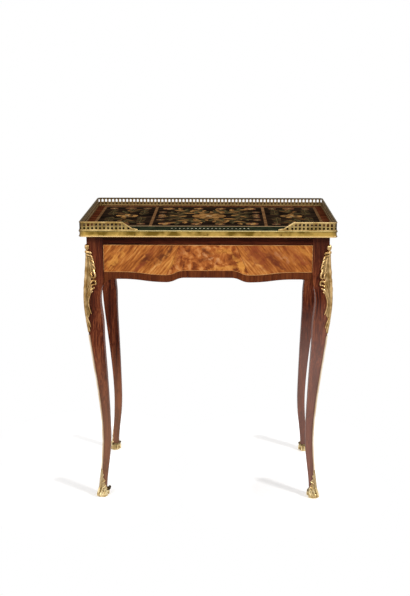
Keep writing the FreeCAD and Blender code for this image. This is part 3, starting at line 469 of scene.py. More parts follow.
# Top: an oak core in the brass rim, veneered with a crossbanded border, pale stringing and three dark
# panels. The deep front border is stained green-black.
dress(oak, "top_board")
top_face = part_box("top_crossbanding")[1].z
front_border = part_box("top_stringing")[0].y
side_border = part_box("top_stringing")[1].x
TOP_GLOSS = 0.0
STRING_WIDTH = 6 * MM
STAINS_PER_METRE = 60.0
BORDER_TONES = [(0.30, 48, 20, 10), (0.5, 76, 36, 20), (0.7, 100, 54, 32)]
STAIN_TONES = [(0.35, 20, 23, 16), (0.65, 46, 52, 36)]
STRING_TONES = [(0.2, 80, 54, 34), (0.5, 108, 76, 48), (0.8, 132, 98, 64)]
GROUND_TONES = [(0.30, 16, 11, 9), (0.5, 32, 22, 16), (0.7, 50, 36, 25)]


def across_border(look):
    """Coordinates whose X runs across the border: from side to side at the ends, front to back between."""
    x, y, z = look.xyz()
    at_end = look.above(look.size(x), side_border)
    return look.vector(look.mix(at_end, y, x), look.mix(at_end, x, y), z)


def stained_front(look, colour):
    """The deep front border is stained a dark green, the rest left red."""
    x, y, _ = look.xyz()
    between = look.below(look.size(x), side_border)
    stain = look.ramp(look.noise(look.place(), STAINS_PER_METRE), STAIN_TONES)
    return look.blend(look.times(look.below(y, front_border), between), colour, stain)


def pale_front(look, colour):
    """The line along the front border is the palest."""
    y = look.xyz()[1]
    return look.blend(look.below(y, front_border + STRING_WIDTH), colour, (170, 144, 108))


dress(wood("top_border", BORDER_TONES, length=0.06, width=0.008, roughness=0.34, gloss=TOP_GLOSS,
           coords=across_border, tint=stained_front), "top_crossbanding")
dress(wood("boxwood", STRING_TONES, length=0.20, width=0.010, roughness=0.38, gloss=TOP_GLOSS,
           tint=pale_front), "top_stringing")
dress(wood("marquetry_ground", GROUND_TONES, length=0.20, width=0.014, roughness=0.34, gloss=TOP_GLOSS),
      "top_veneer_center", *both("top_veneer"))

# Marquetry: flowers and leafy sprays of natural and stained woods let into the dark panels, each leaf,
# petal and stem sawn as a piece of its own. The design is a generic one, mirrored about the middle of the
# table, and a row of pale studs lies in the front border.
INLAY_DEPTH = 0.1 * MM
INLAY_TONES = {
    "honey": (158, 116, 66), "amber": (116, 80, 44), "tan": (102, 80, 50), "umber": (76, 56, 35),
    "olive": (82, 71, 44), "moss": (54, 48, 31), "cream": (160, 136, 100), "rose": (106, 68, 48),
    "bone": (230, 222, 194),
}
inlays = {tone: bmesh.new() for tone in INLAY_TONES}


def let_in(tone, outline, proud):
    """A flat piece of one wood let into the top and standing proud by a hair; its outline is in mm."""
    form = inlays[tone]
    rings = []
    for level in (proud * MM, -INLAY_DEPTH):
        rings.append([form.verts.new((x * MM, y * MM, top_face + level)) for x, y in outline])
        form.faces.new(rings[-1])
    band(form, *rings)


def laid(points, spot, angle):
    """Points turned by an angle and moved to a spot."""
    cos, sin = math.cos(angle), math.sin(angle)
    return [(spot[0] + along * cos - out * sin, spot[1] + along * sin + out * cos) for along, out in points]


def circle(middle, radius, steps):
    """Points round a middle."""
    turns = [math.tau * step / steps for step in range(steps)]
    return [(middle[0] + radius * math.cos(turn), middle[1] + radius * math.sin(turn)) for turn in turns]


LEAF_STEPS = 8


def leaf(spot, angle, length, width, bend, tones, proud):
    """A pointed leaf of two halves, light and dark, on either side of a bent rib."""
    shares = [step / LEAF_STEPS for step in range(LEAF_STEPS + 1)]
    rib = [(length * share, bend * share * share) for share in shares]
    for side, tone in zip((1, -1), tones):
        edge = [(along, out + side * width / 2 * math.sin(math.pi * share ** 0.8))
                for share, (along, out) in zip(shares[1:-1], rib[1:-1])]
        let_in(tone, laid(rib + edge[::-1], spot, angle), proud)


# outline of a petal, in shares of its reach and of its half width
PETAL = [(0.2, 0.0), (0.55, 0.62), (0.78, 1.0), (0.92, 0.7), (1.0, 0.0), (0.92, -0.7), (0.78, -1.0),
         (0.55, -0.62)]
PETAL_FILL = 0.86
INNER_RING = 0.58
FLOWER_EYE = 0.2


def flower(spot, radius, petals, tones, turn):
    """A round flower of pointed petals in two tones, with a ring of small ones and a middle."""
    for ring, proud in ((0, 0.04), (1, 0.05)):
        reach = radius * INNER_RING if ring else radius
        width = reach * math.tan(math.pi / petals) * PETAL_FILL
        outline = [(reach * along, width * out) for along, out in PETAL]
        for number in range(petals):
            angle = turn + math.tau * (number + ring / 2) / petals
            let_in(tones[(number + ring) % 2], laid(outline, spot, angle), proud)
    let_in("cream", circle(spot, radius * FLOWER_EYE, 12), 0.06)


STEM_WIDTH = 2.2
LEAF_ANGLE = math.radians(48)


def spray(start, start_pull, end_pull, end, count, size, bloom, tones, proud):
    """A bent stem with leaves on both sides that grow smaller, and a flower at its end."""
    knots = [Vector(point) for point in (start, start_pull, end_pull, end)]
    line = [Vector(point[:2]) for point in interpolate_bezier(*knots, 4 * count + 1)]
    left, right = [], []
    for index, point in enumerate(line):
        run = line[min(index + 1, len(line) - 1)] - line[max(index - 1, 0)]
        out = Vector((-run.y, run.x)).normalized() * STEM_WIDTH / 2
        left.append(tuple(point + out))
        right.append(tuple(point - out))
    let_in("olive", left + right[::-1], proud - 0.008)
    for number in range(count):
        index = 4 * number + 2
        run = line[index + 1] - line[index - 1]
        heading = math.atan2(run.y, run.x)
        length = size * (1 - 0.35 * number / count)
        for side in (1, -1):
            shades = tones if (number + (side > 0)) % 2 else ("olive", "moss")
            leaf(line[index], heading + side * LEAF_ANGLE, length, length * 0.42, side * length * -0.16,
                 shades, proud)
    flower(end, bloom, petals=7, tones=("rose", tones[0]), turn=0.3)


center_low, center_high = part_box("top_veneer_center")
panel_low, panel_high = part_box("top_veneer_right")
center_y = (center_low.y + center_high.y) / 2 / MM
side_x = (panel_low.x + panel_high.x) / 2 / MM
GOLD = ("honey", "amber")
DIM = ("tan", "umber")


def stem_points(points, middle_x, across, along):
    """Points of a stem set off from the middle of a panel, mirrored by the signs across and along."""
    return [(middle_x + across * x, center_y + along * y) for x, y in points]


# points of the stem in mm, count and length of its leaves, radius of its flower, its tones and its rise
MIDDLE_SPRAY = ([(48, 0), (70, 10), (95, -12), (122, 0)], 3, 30, 13, GOLD, 0.04)
CENTER_SPRAYS = [
    ([(30, 34), (52, 60), (70, 116), (112, 122)], 5, 40, 17, GOLD, 0.03),
    ([(8, 46), (12, 70), (34, 90), (30, 126)], 4, 30, 13, GOLD, 0.035),
    ([(60, 30), (78, 34), (96, 66), (126, 62)], 4, 26, 11, DIM, 0.025),
    ([(64, 8), (78, 22), (106, 6), (126, 22)], 3, 20, 9, DIM, 0.02),
]
SIDE_SPRAYS = [
    ([(0, 33), (34, 60), (-40, 86), (0, 128)], 5, 34, 16, ("amber", "umber"), 0.03),
    ([(36, 14), (50, 46), (34, 84), (46, 126)], 5, 21, 12, DIM, 0.025),
    ([(-36, 14), (-50, 46), (-34, 84), (-46, 126)], 5, 21, 12, DIM, 0.02),
]
flower((0.0, center_y), radius=46.0, petals=12, tones=GOLD, turn=0.0)
for across in (1, -1):
    flower((across * side_x, center_y), radius=30.0, petals=9, tones=("honey", "umber"), turn=0.2)
    points, *growth = MIDDLE_SPRAY
    spray(*stem_points(points, 0.0, across, 1), *growth)
    for along in (1, -1):
        for sprays, middle_x in ((CENTER_SPRAYS, 0.0), (SIDE_SPRAYS, across * side_x)):
            for points, *growth in sprays:
                spray(*stem_points(points, middle_x, across, along), *growth)
STUD_PITCH = 10
STUD_RADIUS = 2.3
STUD_PLACES = range(-9, 11)
stud_y = (front_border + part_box("top_crossbanding")[0].y) / 2 / MM
for number in STUD_PLACES:
    let_in("bone", circle((number * STUD_PITCH, stud_y), STUD_RADIUS, 10), 0.05)
for tone, colour in INLAY_TONES.items():
    tones = [(0.3, *[value * 0.7 for value in colour]), (0.5, *colour),
             (0.7, *[min(value * 1.15, 255) for value in colour])]
    inlay_wood = wood(f"inlay_{tone}", tones, length=0.05, width=0.005, roughness=0.4, gloss=TOP_GLOSS)
    add_piece(f"inlay_{tone}", to_mesh(inlays[tone], f"inlay_{tone}"), inlay_wood, "table", "marquetry")


# Rim: lengths of drawn brass moulding pinned round the edge of the top, with a bead along the bottom.
# The front and back lengths turn the corners, and the metal has dulled unevenly with handling.
FLECKS_PER_METRE = 900.0


def brass(name, bright, dull, patch, roughness, hollows=None, tint=None, stipple=None, crest=0.53,
          metallic=1.0):
    """Brass with duller patches of the given size, fine scratches and, if given, hollows and stippling.

    The dark of the hollows ends where the surface is as pointed as the crest.
    """
    look = Look(bpy.data.materials.new(name))
    look.surface(Metallic=metallic, Specular_IOR_Level=0.0)
    place = look.place()
    clouds = look.noise(place, 1 / patch)
    flecks = look.noise(place, FLECKS_PER_METRE, 2.0)
    colour = look.ramp(clouds, [(0.4, *dull), (0.6, *bright)])
    if hollows:
        pointed = look.node("NewGeometry", {}).outputs["Pointiness"]
        colour = look.blend(look.spread(pointed, 0.45, crest), hollows, colour)
    if tint:
        colour = tint(look, colour)
    wear_and_light = look.spread(look.plus(clouds, flecks), 0.6, 1.4, roughness + 0.1, roughness - 0.08)
    look.surface(Base_Color=colour, Roughness=wear_and_light)
    if stipple:
        look.bump(look.noise(place, 1 / stipple, 2.0), 0.4, 0.8 * MM)
    else:
        look.bump(flecks, 0.08, 0.1 * MM)
    return look.owner


rim_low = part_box("rim_front")[0]
RIM_BEAD = 3.4 * MM
GROOVE_LOW = 13.6 * MM
GROOVE_HIGH = 14.8 * MM
FRONT_LIP = rim_low.y + 9 * MM


def shaded_corners(look, colour):
    """Painted shade where the brass turns the corners of the table."""
    x, y, _ = look.split(look.vectors("ABSOLUTE", look.place()))
    end = look.spread(x, cad_high.x - 14 * MM, cad_high.x - 3 * MM, 0.0, 0.8)
    edge = look.spread(y, cad_high.y - 16 * MM, cad_high.y - 8 * MM)
    # painted shade at the corners
    return look.blend(look.times(end, edge), colour, (88, 68, 46))


def rim_highlights_and_shade(look, colour):
    """Painted highlights on bead and lip; painted shade in the groove and on the shelf behind the gallery.
    """
    _, y, z = look.xyz()
    height = look.minus(z, rim_low.z)
    bead = look.below(height, RIM_BEAD)
    # painted highlight on the bead
    colour = look.blend(look.times(bead, 0.85), colour, (232, 198, 138))
    groove = look.times(look.above(height, GROOVE_LOW), look.below(height, GROOVE_HIGH))
    # painted shade in the groove
    colour = look.blend(look.times(groove, 0.75), colour, (52, 40, 16))
    lip = look.above(height, GROOVE_HIGH)
    # painted highlight on the top lip
    colour = look.blend(look.times(lip, 0.6), colour, (206, 190, 130))
    # painted shade on the upward shelf behind the gallery
    upward = look.split(look.node("NewGeometry", {}).outputs["Normal"])[2]
    shelf = look.times(look.above(upward, 0.7), look.above(y, FRONT_LIP))
    look.surface(Metallic=look.mix(shelf, 1.0, 0.1))
    return shaded_corners(look, look.blend(look.times(shelf, 0.9), colour, (66, 46, 26)))


# the tint paints highlights on bead and lip and shade in the groove, behind the gallery and at corners
rim_brass = brass("rim_brass", (186, 152, 78), (112, 88, 30), patch=32 * MM, roughness=0.42,
                  tint=rim_highlights_and_shade)
dress(rim_brass, *[f"rim_{side}" for side in FRONT_BACK + SIDES])
pin_brass = brass("pin_brass", (104, 80, 34), (64, 48, 20), patch=10 * MM, roughness=0.4)
# radius and rise of the head of a pin, in mm
PIN_PROFILE = [(1.7, -0.6), (1.7, 0.3), (1.4, 0.7), (0.8, 1.0), (0.0, 1.1)]
PIN_STEPS = 12
# where the pins are along the front of the rim and above its foot, in mm, and how far in its face lies
PIN_PLACES = (-180, 0, 180)
PIN_HEIGHT = 6
FACE_SETBACK = 1.2 * MM
face_y = rim_low.y + FACE_SETBACK
pin_z = rim_low.z / MM + PIN_HEIGHT
for number, pin_x in enumerate(PIN_PLACES, start=1):
    form = bmesh.new()
    rings = [[form.verts.new((x * MM, face_y - rise * MM, z * MM))
              for x, z in circle((pin_x, pin_z), radius, PIN_STEPS)] for radius, rise in PIN_PROFILE]
    for first, second in zip(rings, rings[1:]):
        band(form, first, second)
    form.faces.new(rings[0])
    add_piece(f"rim_pin_{number}", to_mesh(form, f"rim_pin_{number}"), pin_brass, "table", "brass")

# Gallery: cast strips of pierced brass standing on the rim round three sides, with two returns at the
# front that ramp down to a small tail. Each has round-headed openings over a row of blind round eyes.
# The recesses are darkened with painted shade, and the inner faces are dull, with painted shade under
# the top rail and low on the inner faces of the side strips.
GALLERY_HEIGHT = 22 * MM
GALLERY_THICKNESS = 1.8 * MM
WEB_TOP = GALLERY_HEIGHT - MM
CELL_PITCH = 10 * MM
OPENING_WIDTH = 5.8 * MM
OPENING_LOW = 10.4 * MM
OPENING_HIGH = 18.2 * MM
EYE_HEIGHT = 5.9 * MM
EYE_RADIUS = 2.9 * MM
EYE_DEPTH = 0.6 * MM
HEAD_STEPS = 6
CORNER_STEPS = 4
# material slots of a strip, after its face
RECESS = 1
WEB = 2
back_low, back_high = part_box("gallery_back")
base = back_low.z
line_x = back_high.x - GALLERY_THICKNESS / 2
line_y = back_high.y - GALLERY_THICKNESS / 2
turn_radius = line_y - back_low.y
half_length = line_x - turn_radius


def dull_and_shaded_inside(look, colour):
    """Dull on faces looking to the middle of the table, painted shade under the rail and low on the sides.
    """
    normal = look.node("NewGeometry", {}).outputs["Normal"]
    level = look.vectors("MULTIPLY", look.place(), (1.0, 1.0, 0.0))
    inside = look.spread(look.vectors("DOT_PRODUCT", normal, level), 0.05, -0.04)
    height = look.xyz()[2]
    # painted shade under the top rail
    rail = look.spread(height, cad_high.z - 3.6 * MM, cad_high.z - 2.8 * MM)
    look.surface(Metallic=look.mix(look.calc("MAXIMUM", inside, rail), 1.0, 0.25))
    # painted shade on the inner faces turned to the sides, darkest low and lighter towards the top
    sideways = look.spread(look.size(look.split(normal)[0]), 0.3, 0.7)
    lift = look.spread(height, cad_high.z - GALLERY_HEIGHT, cad_high.z - 6 * MM)
    side_tone = look.ramp(lift, [(0.2, 88, 64, 44), (0.7, 150, 134, 110)])
    dull = look.blend(sideways, (144, 116, 74), side_tone)
    colour = look.blend(look.times(inside, 0.85), colour, dull)
    return look.blend(look.times(rail, 0.8), colour, (60, 54, 40))


# the tint paints shade under the rail and on the side strips' inner faces
dull_brass = brass("gallery_brass", (196, 168, 110), (140, 112, 60), patch=30 * MM, roughness=0.38,
                   hollows=(52, 38, 16), tint=dull_and_shaded_inside)
# the returns take the painted shade at the corners
bright_brass = brass("return_brass", (206, 178, 122), (150, 121, 68), patch=30 * MM, roughness=0.42,
                     hollows=(56, 40, 16), tint=shaded_corners)
web_brass = brass("web_brass", (176, 150, 94), (116, 93, 48), patch=30 * MM, roughness=0.45,
                  hollows=(44, 31, 13), tint=shaded_corners)
# painted shade: the walls of the openings and the eyes get a dark, dull brass
RECESS_SHADE = {"patch": 10 * MM, "roughness": 0.8, "metallic": 0.1}
dull_recess = brass("gallery_recess", (96, 72, 40), (58, 42, 22), **RECESS_SHADE)
dark_recess = brass("return_recess", (18, 11, 4), (9, 5, 2), **RECESS_SHADE)


def run_place(start, along, outward, length):
    """A function from distance along a run, height and depth to a point; the run turns at its ends."""
    def place(distance, height, depth):
        spot = start + along * min(max(distance, 0.0), length)
        facing = outward
        beyond = min(distance, 0.0) + max(distance - length, 0.0)
        if beyond:
            turn = beyond / turn_radius
            facing = outward * math.cos(turn) + along * math.sin(turn)
            spot = spot + (facing - outward) * turn_radius
        return spot + facing * depth + Vector((0.0, 0.0, height))
    return place


def opening(middle, high=OPENING_HIGH):
    """A round-headed opening up to a height."""
    radius = OPENING_WIDTH / 2
    head = circle((middle, high - radius), radius, 2 * HEAD_STEPS)[:HEAD_STEPS + 1]
    return [(middle - radius, OPENING_LOW), (middle + radius, OPENING_LOW)] + head


def eye(middle):
    return circle((middle, EYE_HEIGHT), EYE_RADIUS, 2 * HEAD_STEPS)


def add_cell(form, place, start, end, top_start, top_end, openings=(), eyes=(), steps=1):
    """One cell of the pierced strip, with its openings cut through and its eyes cut blind."""
    shares = [step / steps for step in range(steps + 1)]
    foot_line = [(start + (end - start) * share, 0.0) for share in shares]
    top_line = [(along, top_start + (top_end - top_start) * share)
                for share, (along, _) in zip(shares, foot_line)]
    loops = [foot_line + top_line[::-1], *openings, *eyes]
    triangles = tessellate_polygon([[Vector((*point, 0.0)) for point in loop] for loop in loops])
    faces = []
    for depth in (-GALLERY_THICKNESS / 2, GALLERY_THICKNESS / 2):
        rings = [[form.verts.new(place(*point, depth)) for point in loop] for loop in loops]
        points = [point for ring in rings for point in ring]
        for triangle in triangles:
            form.faces.new([points[corner] for corner in triangle])
        eye_depth = depth - math.copysign(EYE_DEPTH, depth)
        for ring, loop in zip(rings[1 + len(openings):], eyes):
            bottom = [form.verts.new(place(*point, eye_depth)) for point in loop]
            for face in band(form, ring, bottom) + [form.faces.new(bottom)]:
                face.material_index = RECESS
        faces.append(rings)
    inner, outer = faces
    band(form, inner[0], outer[0])
    for _, near, far in zip(openings, inner[1:], outer[1:]):
        for face in band(form, near, far):
            face.material_index = RECESS


def pierced_cells(form, place, start, end, steps=1):
    """Cells of about the usual pitch from start to end, each of so many steps round a turn."""
    count = round((end - start) / CELL_PITCH)
    pitch = (end - start) / count
    for index in range(count):
        middle = start + pitch * (index + 0.5)
        add_cell(form, place, middle - pitch / 2, middle + pitch / 2, WEB_TOP, WEB_TOP, [opening(middle)],
                 [eye(middle)], steps)


def loft(form, rings):
    """Bands of faces from ring to ring, closed at both ends."""
    for first, second in zip(rings, rings[1:]):
        band(form, first, second)
    form.faces.new(rings[0])
    form.faces.new(rings[-1])


def add_moulding(form, place, path, profile):
    """A moulding of one profile swept along a path of distances and heights."""
    loft(form, [[form.verts.new(place(along, height + rise, depth)) for depth, rise in profile]
                for along, height in path])


def symmetric(half):
    """A profile from its right half in mm, listed from bottom to top."""
    right = [(depth * MM, rise * MM) for depth, rise in half]
    return right + [(-depth, rise) for depth, rise in reversed(right) if depth]


TOP_PROFILE = symmetric([(1.3, -3.5), (1.8, -2.8), (1.9, -1.6), (1.6, -0.7), (1.0, -0.2), (0.0, 0.0)])
BASE_PROFILE = symmetric([(2.0, 0.0), (2.0, 1.0), (1.6, 1.4), (1.7, 2.0), (1.5, 2.6), (0.9, 3.0)])


def add_rails(form, place, distances):
    """The level mouldings along the top and the foot of a strip."""
    add_moulding(form, place, [(distance, GALLERY_HEIGHT) for distance in distances], TOP_PROFILE)
    add_moulding(form, place, [(distance, 0.0) for distance in distances], BASE_PROFILE)


def add_gallery(place, mesh, face_brass, *inner_brass):
    piece = add_piece(f"gallery_{place}_pierced", mesh, face_brass, "table", "brass", f"gallery_{place}")
    for metal in inner_brass:
        piece.data.materials.append(metal)


def mirrored(mesh, across):
    """A copy of a mesh mirrored from side to side (0) or from front to back (1)."""
    copy = mesh.copy()
    scale = Vector((1.0, 1.0, 1.0))
    scale[across] = -1.0
    copy.transform(Matrix.Diagonal(scale).to_4x4())
    copy.flip_normals()
    return copy


ALONG_X = Vector((1, 0, 0))
ALONG_Y = Vector((0, 1, 0))
quarter_turn = turn_radius * math.pi / 2
back_length = 2 * half_length
corner_steps = [quarter_turn * step / CORNER_STEPS for step in range(CORNER_STEPS + 1)]
first_corner = [step - quarter_turn for step in corner_steps]
last_corner = [step + back_length for step in corner_steps]

back_run = run_place(Vector((-half_length, line_y, base)), ALONG_X, ALONG_Y, back_length)
form = bmesh.new()
pierced_cells(form, back_run, first_corner[0], 0.0, CORNER_STEPS)
pierced_cells(form, back_run, 0.0, back_length)
pierced_cells(form, back_run, back_length, last_corner[-1], CORNER_STEPS)
add_rails(form, back_run, first_corner + last_corner)
add_gallery("back", to_mesh(form, "gallery_back_pierced"), dull_brass, dull_recess)

left_low, left_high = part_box("gallery_left")
side_length = left_high.y - left_low.y
side_run = run_place(Vector((-line_x, left_low.y, base)), ALONG_Y, -ALONG_X, side_length)
form = bmesh.new()
pierced_cells(form, side_run, 0.0, side_length)
add_rails(form, side_run, (0.0, side_length))
side_strip = to_mesh(form, "gallery_side_pierced")

RAMP_START = 98 * MM
RAMP_LENGTH = 26 * MM
TAIL_LENGTH = 12 * MM
TAIL_RISE = 5.2 * MM
TAIL_TIP = 3.2 * MM
ramp_middle = RAMP_START + RAMP_LENGTH / 2
ramp_end = RAMP_START + RAMP_LENGTH
ramp_height = (GALLERY_HEIGHT + TAIL_RISE) / 2
last_opening = RAMP_START + 3.6 * MM
front_run = run_place(Vector((-half_length, -line_y, base)), ALONG_X, -ALONG_Y, back_length)
form = bmesh.new()
pierced_cells(form, front_run, first_corner[0], 0.0, CORNER_STEPS)
pierced_cells(form, front_run, 0.0, RAMP_START)
add_cell(form, front_run, RAMP_START, ramp_middle, WEB_TOP, ramp_height - MM,
         [opening(last_opening, ramp_height)], [eye(last_opening)])
add_cell(form, front_run, ramp_middle, ramp_end, ramp_height - MM, TAIL_RISE - MM,
         eyes=[eye(ramp_middle + 2.6 * MM)])
for face in form.faces:
    if face.material_index != RECESS:
        face.material_index = WEB
front_rail = [(distance, GALLERY_HEIGHT) for distance in first_corner] + [
    (RAMP_START, GALLERY_HEIGHT), (ramp_end, TAIL_RISE),
    (ramp_end + TAIL_LENGTH * 0.4, TAIL_RISE + 0.4 * MM), (ramp_end + TAIL_LENGTH, TAIL_TIP)]
front_foot = [(distance, 0.0) for distance in (*first_corner, ramp_end + TAIL_LENGTH * 0.7)]
add_moulding(form, front_run, front_rail, TOP_PROFILE)
add_moulding(form, front_run, front_foot, BASE_PROFILE)
front_strip = to_mesh(form, "gallery_front_pierced")
for side, side_mesh, front_mesh in (("left", side_strip, front_strip),
                                    ("right", mirrored(side_strip, 0), mirrored(front_strip, 0))):
    add_gallery(side, side_mesh, dull_brass, dull_recess)
    add_gallery(f"front_{side}", front_mesh, bright_brass, dark_recess, web_brass)

# Corner mounts: cast and chased gilt bronze, pinned over the arris of each leg. A roll and a bead crown a
# stippled leaf with curling fingers, and a smooth stem runs down to two small leaves over the fillet.
bronze = brass("gilt_bronze", (252, 211, 149), (186, 145, 86), patch=16 * MM, roughness=0.28,
               hollows=(54, 38, 14), stipple=2.6 * MM, crest=0.554)
diagonal = cad_high.x - cad_high.y
LEG_SWEEP = 47 * MM


def worn_arris(look, colour):
    """Bright along the corner of the leg and darker where the fillet meets the veneer."""
    x, y, _ = look.split(look.vectors("ABSOLUTE", look.place()))
    away = look.size(look.minus(look.minus(x, y), diagonal))
    return look.blend(look.spread(away, 1.6 * MM, 4 * MM, 0.0, 0.9), colour, (128, 92, 64))


fillet_brass = brass("fillet_brass", (250, 234, 210), (224, 196, 162), patch=50 * MM, roughness=0.3,
                     tint=worn_arris)
# how far out the front left leg's outer corner is at each height
arris = {}
for vertex in nodes["leg_front_left"].data.vertices:
    reach = abs(vertex.co.x)
    if abs(reach - abs(vertex.co.y) - diagonal) < 1e-5 and reach > cad_high.x - LEG_SWEEP:
        arris[vertex.co.z] = reach
arris_heights = sorted(arris)
arris_reaches = [arris[height] for height in arris_heights]


def on_leg(height, across, proud, other_face):
    """A point on the front left leg in mm: up, in from the outer corner and out from its front or side."""
    reach = numpy.interp(height * MM, arris_heights, arris_reaches)
    x = -reach + across * MM
    y = diagonal - reach - proud * MM
    return (y - diagonal, x + diagonal, height * MM) if other_face else (x, y, height * MM)


def add_strands(form, strands, faces=(False, True)):
    """Round strands on both faces of the leg, as lists of height, across, proud and radius in mm."""
    curve = bpy.data.curves.new("strands", "CURVE")
    curve.dimensions = "3D"
    curve.bevel_depth = MM
    curve.bevel_resolution = 2
    curve.use_fill_caps = True
    curve.resolution_u = 6
    for points in strands:
        for other_face in faces:
            spline = curve.splines.new("NURBS")
            spline.points.add(len(points) - 1)
            for control, (*spot, radius) in zip(spline.points, points):
                control.co = (*on_leg(*spot, other_face), 1.0)
                control.radius = radius
            spline.order_u = 3
            spline.use_endpoint_u = True
    holder = bpy.data.objects.new("strands", curve)
    mesh = bpy.data.meshes.new_from_object(holder)
    form.from_mesh(mesh)
    bpy.data.objects.remove(holder)
    bpy.data.meshes.remove(mesh)


def add_ground(form, edge, low, high):
    """A plate on both faces of the leg, from the arris to an edge of heights and widths in mm.

    Its back and its face lie at low and high, in mm out from the leg.
    """
    for other_face in (False, True):
        rings = []
        for height, across in edge:
            corners = ((-high, high), (across, high), (across, low), (-high, low))
            rings.append([form.verts.new(on_leg(height, *spot, other_face)) for spot in corners])
        loft(form, rings)


def casting(form, name, voxel, rounds):
    """Melt the strands and plates of a form into one casting and smooth it as chasing does."""
    holder = add_object(name, to_mesh(form, name))
    melt = holder.modifiers.new("melt", "REMESH")
    melt.mode = "VOXEL"
    melt.voxel_size = voxel
    chase = holder.modifiers.new("chase", "SMOOTH")
    chase.factor = 0.5
    chase.iterations = rounds
    mesh = bpy.data.meshes.new_from_object(holder.evaluated_get(bpy.context.evaluated_depsgraph_get()))
    mesh.shade_smooth()
    bpy.data.objects.remove(holder)
    return mesh


CHUTE_GROUND = [
    (665, 7), (648, 13.5), (634, 17.5), (620, 20.5), (609, 19), (596, 12), (584, 15.5), (568, 14),
    (553, 11), (540, 8.6), (525, 9), (513, 10.5), (502, 9), (490, 2.6), (482, 4.6), (467, 3.6), (455, 1.5),
]
CHUTE_STRANDS = [
    # bead on the corner, roll and second edge at the top
    [(681.5, 1, -1, 1.6), (680.2, 1, -1, 5.4), (674, 1, -1, 6.8), (667.8, 1, -1, 5.4), (666.2, 1, -1, 1.6)],
    [(661, -1.5, 2, 3.2), (662, 5, 2.8, 3.6), (660.5, 9.5, 2.8, 3.2), (657.5, 12.5, 1.8, 1.8)],
    [(654, -1, 1.8, 2), (654.5, 5, 2.6, 2.4), (652, 11, 2.6, 2)],
    # rib on the arris
    [(672, 0.3, 0.2, 2.2), (632, 0.3, 0.8, 3), (595, 0.3, 0.9, 3), (555, 0.3, 1, 3.2), (520, 0.3, 0.9, 3),
     (492, 0.3, 0.8, 2.6), (471, 0.3, 0.6, 2), (454, 0.3, 0.3, 1.4)],
    # rolled edge of the upper leaf, its lobes and the veins inside it
    [(652, 12, 1.8, 1.6), (637, 17, 2.2, 1.8), (626, 20, 2.4, 1.8), (616, 21.5, 2.2, 1.6)],
    [(651, 9.5, 2, 1.4), (646, 14, 3.4, 2.4), (642.5, 16.5, 2, 1.2)],
    [(641, 12.5, 2, 1.4), (635, 17.5, 3.6, 2.6), (631, 20, 2, 1.2)],
    [(630, 16, 2, 1.4), (624.5, 20.6, 3.6, 2.6), (620, 22.6, 2, 1.2)],
    [(648, 5, 1.2, 1.2), (631, 9, 1.8, 1.6), (612, 11.5, 1.8, 1.4)],
    # scroll at the end of the leaf, with a knob inside it
    [(620, 18.5, 2.4, 2), (613.5, 19.5, 3.6, 2.8), (607, 23, 4, 3.2), (599, 24.4, 3.4, 3),
     (595.5, 19, 2.4, 2)],
    [(610, 12, 2, 1.8), (602, 15.4, 4, 3.6), (595, 16, 2, 1.6)],
    # hooked finger rising from the stem, and a thinner one inside it
    [(550, 7, 1.6, 1.8), (572, 10.5, 2.6, 2.2), (587, 14, 3.6, 2.6), (591.5, 20, 4, 2.8),
     (588, 26.8, 3.8, 2.8), (579, 25.6, 2.6, 2)],
    [(560, 10, 2, 1.5), (574, 15, 3, 2), (581, 18.6, 3.6, 2.2), (580, 23, 2.6, 1.8)],
    # two lower fingers
    [(551, 9, 1.8, 1.8), (563, 13.4, 3, 2.4), (570, 18.4, 4, 3), (573, 24.4, 2.8, 2)],
    [(548, 9.4, 1.6, 1.6), (557, 13, 2.6, 2), (562, 17.4, 2.8, 2), (563, 20.4, 2, 1.4)],
    # edge of the stem, ending in a leaf tip
    [(562, 16, 1.8, 1.8), (552, 13, 2.4, 2), (543, 10.4, 2.4, 2), (531, 9.2, 2.2, 1.9), (520, 10, 2.2, 1.9),
     (511, 12, 2, 1.8), (504, 13.6, 1.6, 1.2)],
    # small leaves at the foot
    [(494, 2, 1.6, 1.6), (484, 4.6, 2.4, 2.2), (475, 6.6, 2, 1.8), (468, 6.8, 1.2, 1)],
    [(478, 1, 1.4, 1.4), (466, 3.6, 1.8, 1.5), (457, 4, 1, 0.9)],
]
form = bmesh.new()
add_ground(form, CHUTE_GROUND, low=-0.8, high=1.5)
add_strands(form, CHUTE_STRANDS)
chute_mesh = casting(form, "chute_casting", voxel=0.8 * MM, rounds=3)

# Shoes: gilt bronze castings slipped over the feet and pinned, brighter than the corner mounts. A leaf
# climbs the arris above a flared toe, with curling lobes on both faces and a lip at the inner side,
# darkened with painted shade, which has been bent out on the front left shoe.
foot_low, foot_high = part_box("sabot_back_right")
foot = (foot_low + foot_high) / 2


def dulled_and_shaded_shoe(look, colour):
    """The leaf has dulled, and the inner lip of the collar is darkened with painted shade."""
    x, y, z = look.split(look.vectors("ABSOLUTE", look.place()))
    colour = look.blend(look.spread(z, 22 * MM, 36 * MM, 0.0, 0.55), colour, (140, 112, 80))
    inward = look.calc("MINIMUM", look.minus(x, foot.x), look.minus(y, foot.y))
    # painted shade inside the lip of the collar
    lip = look.times(look.spread(inward, -11.5 * MM, -13.5 * MM), look.spread(z, 16.5 * MM, 19.5 * MM))
    look.surface(Metallic=look.mix(lip, 1.0, 0.2))
    return look.blend(look.times(lip, 0.92), colour, (44, 30, 14))


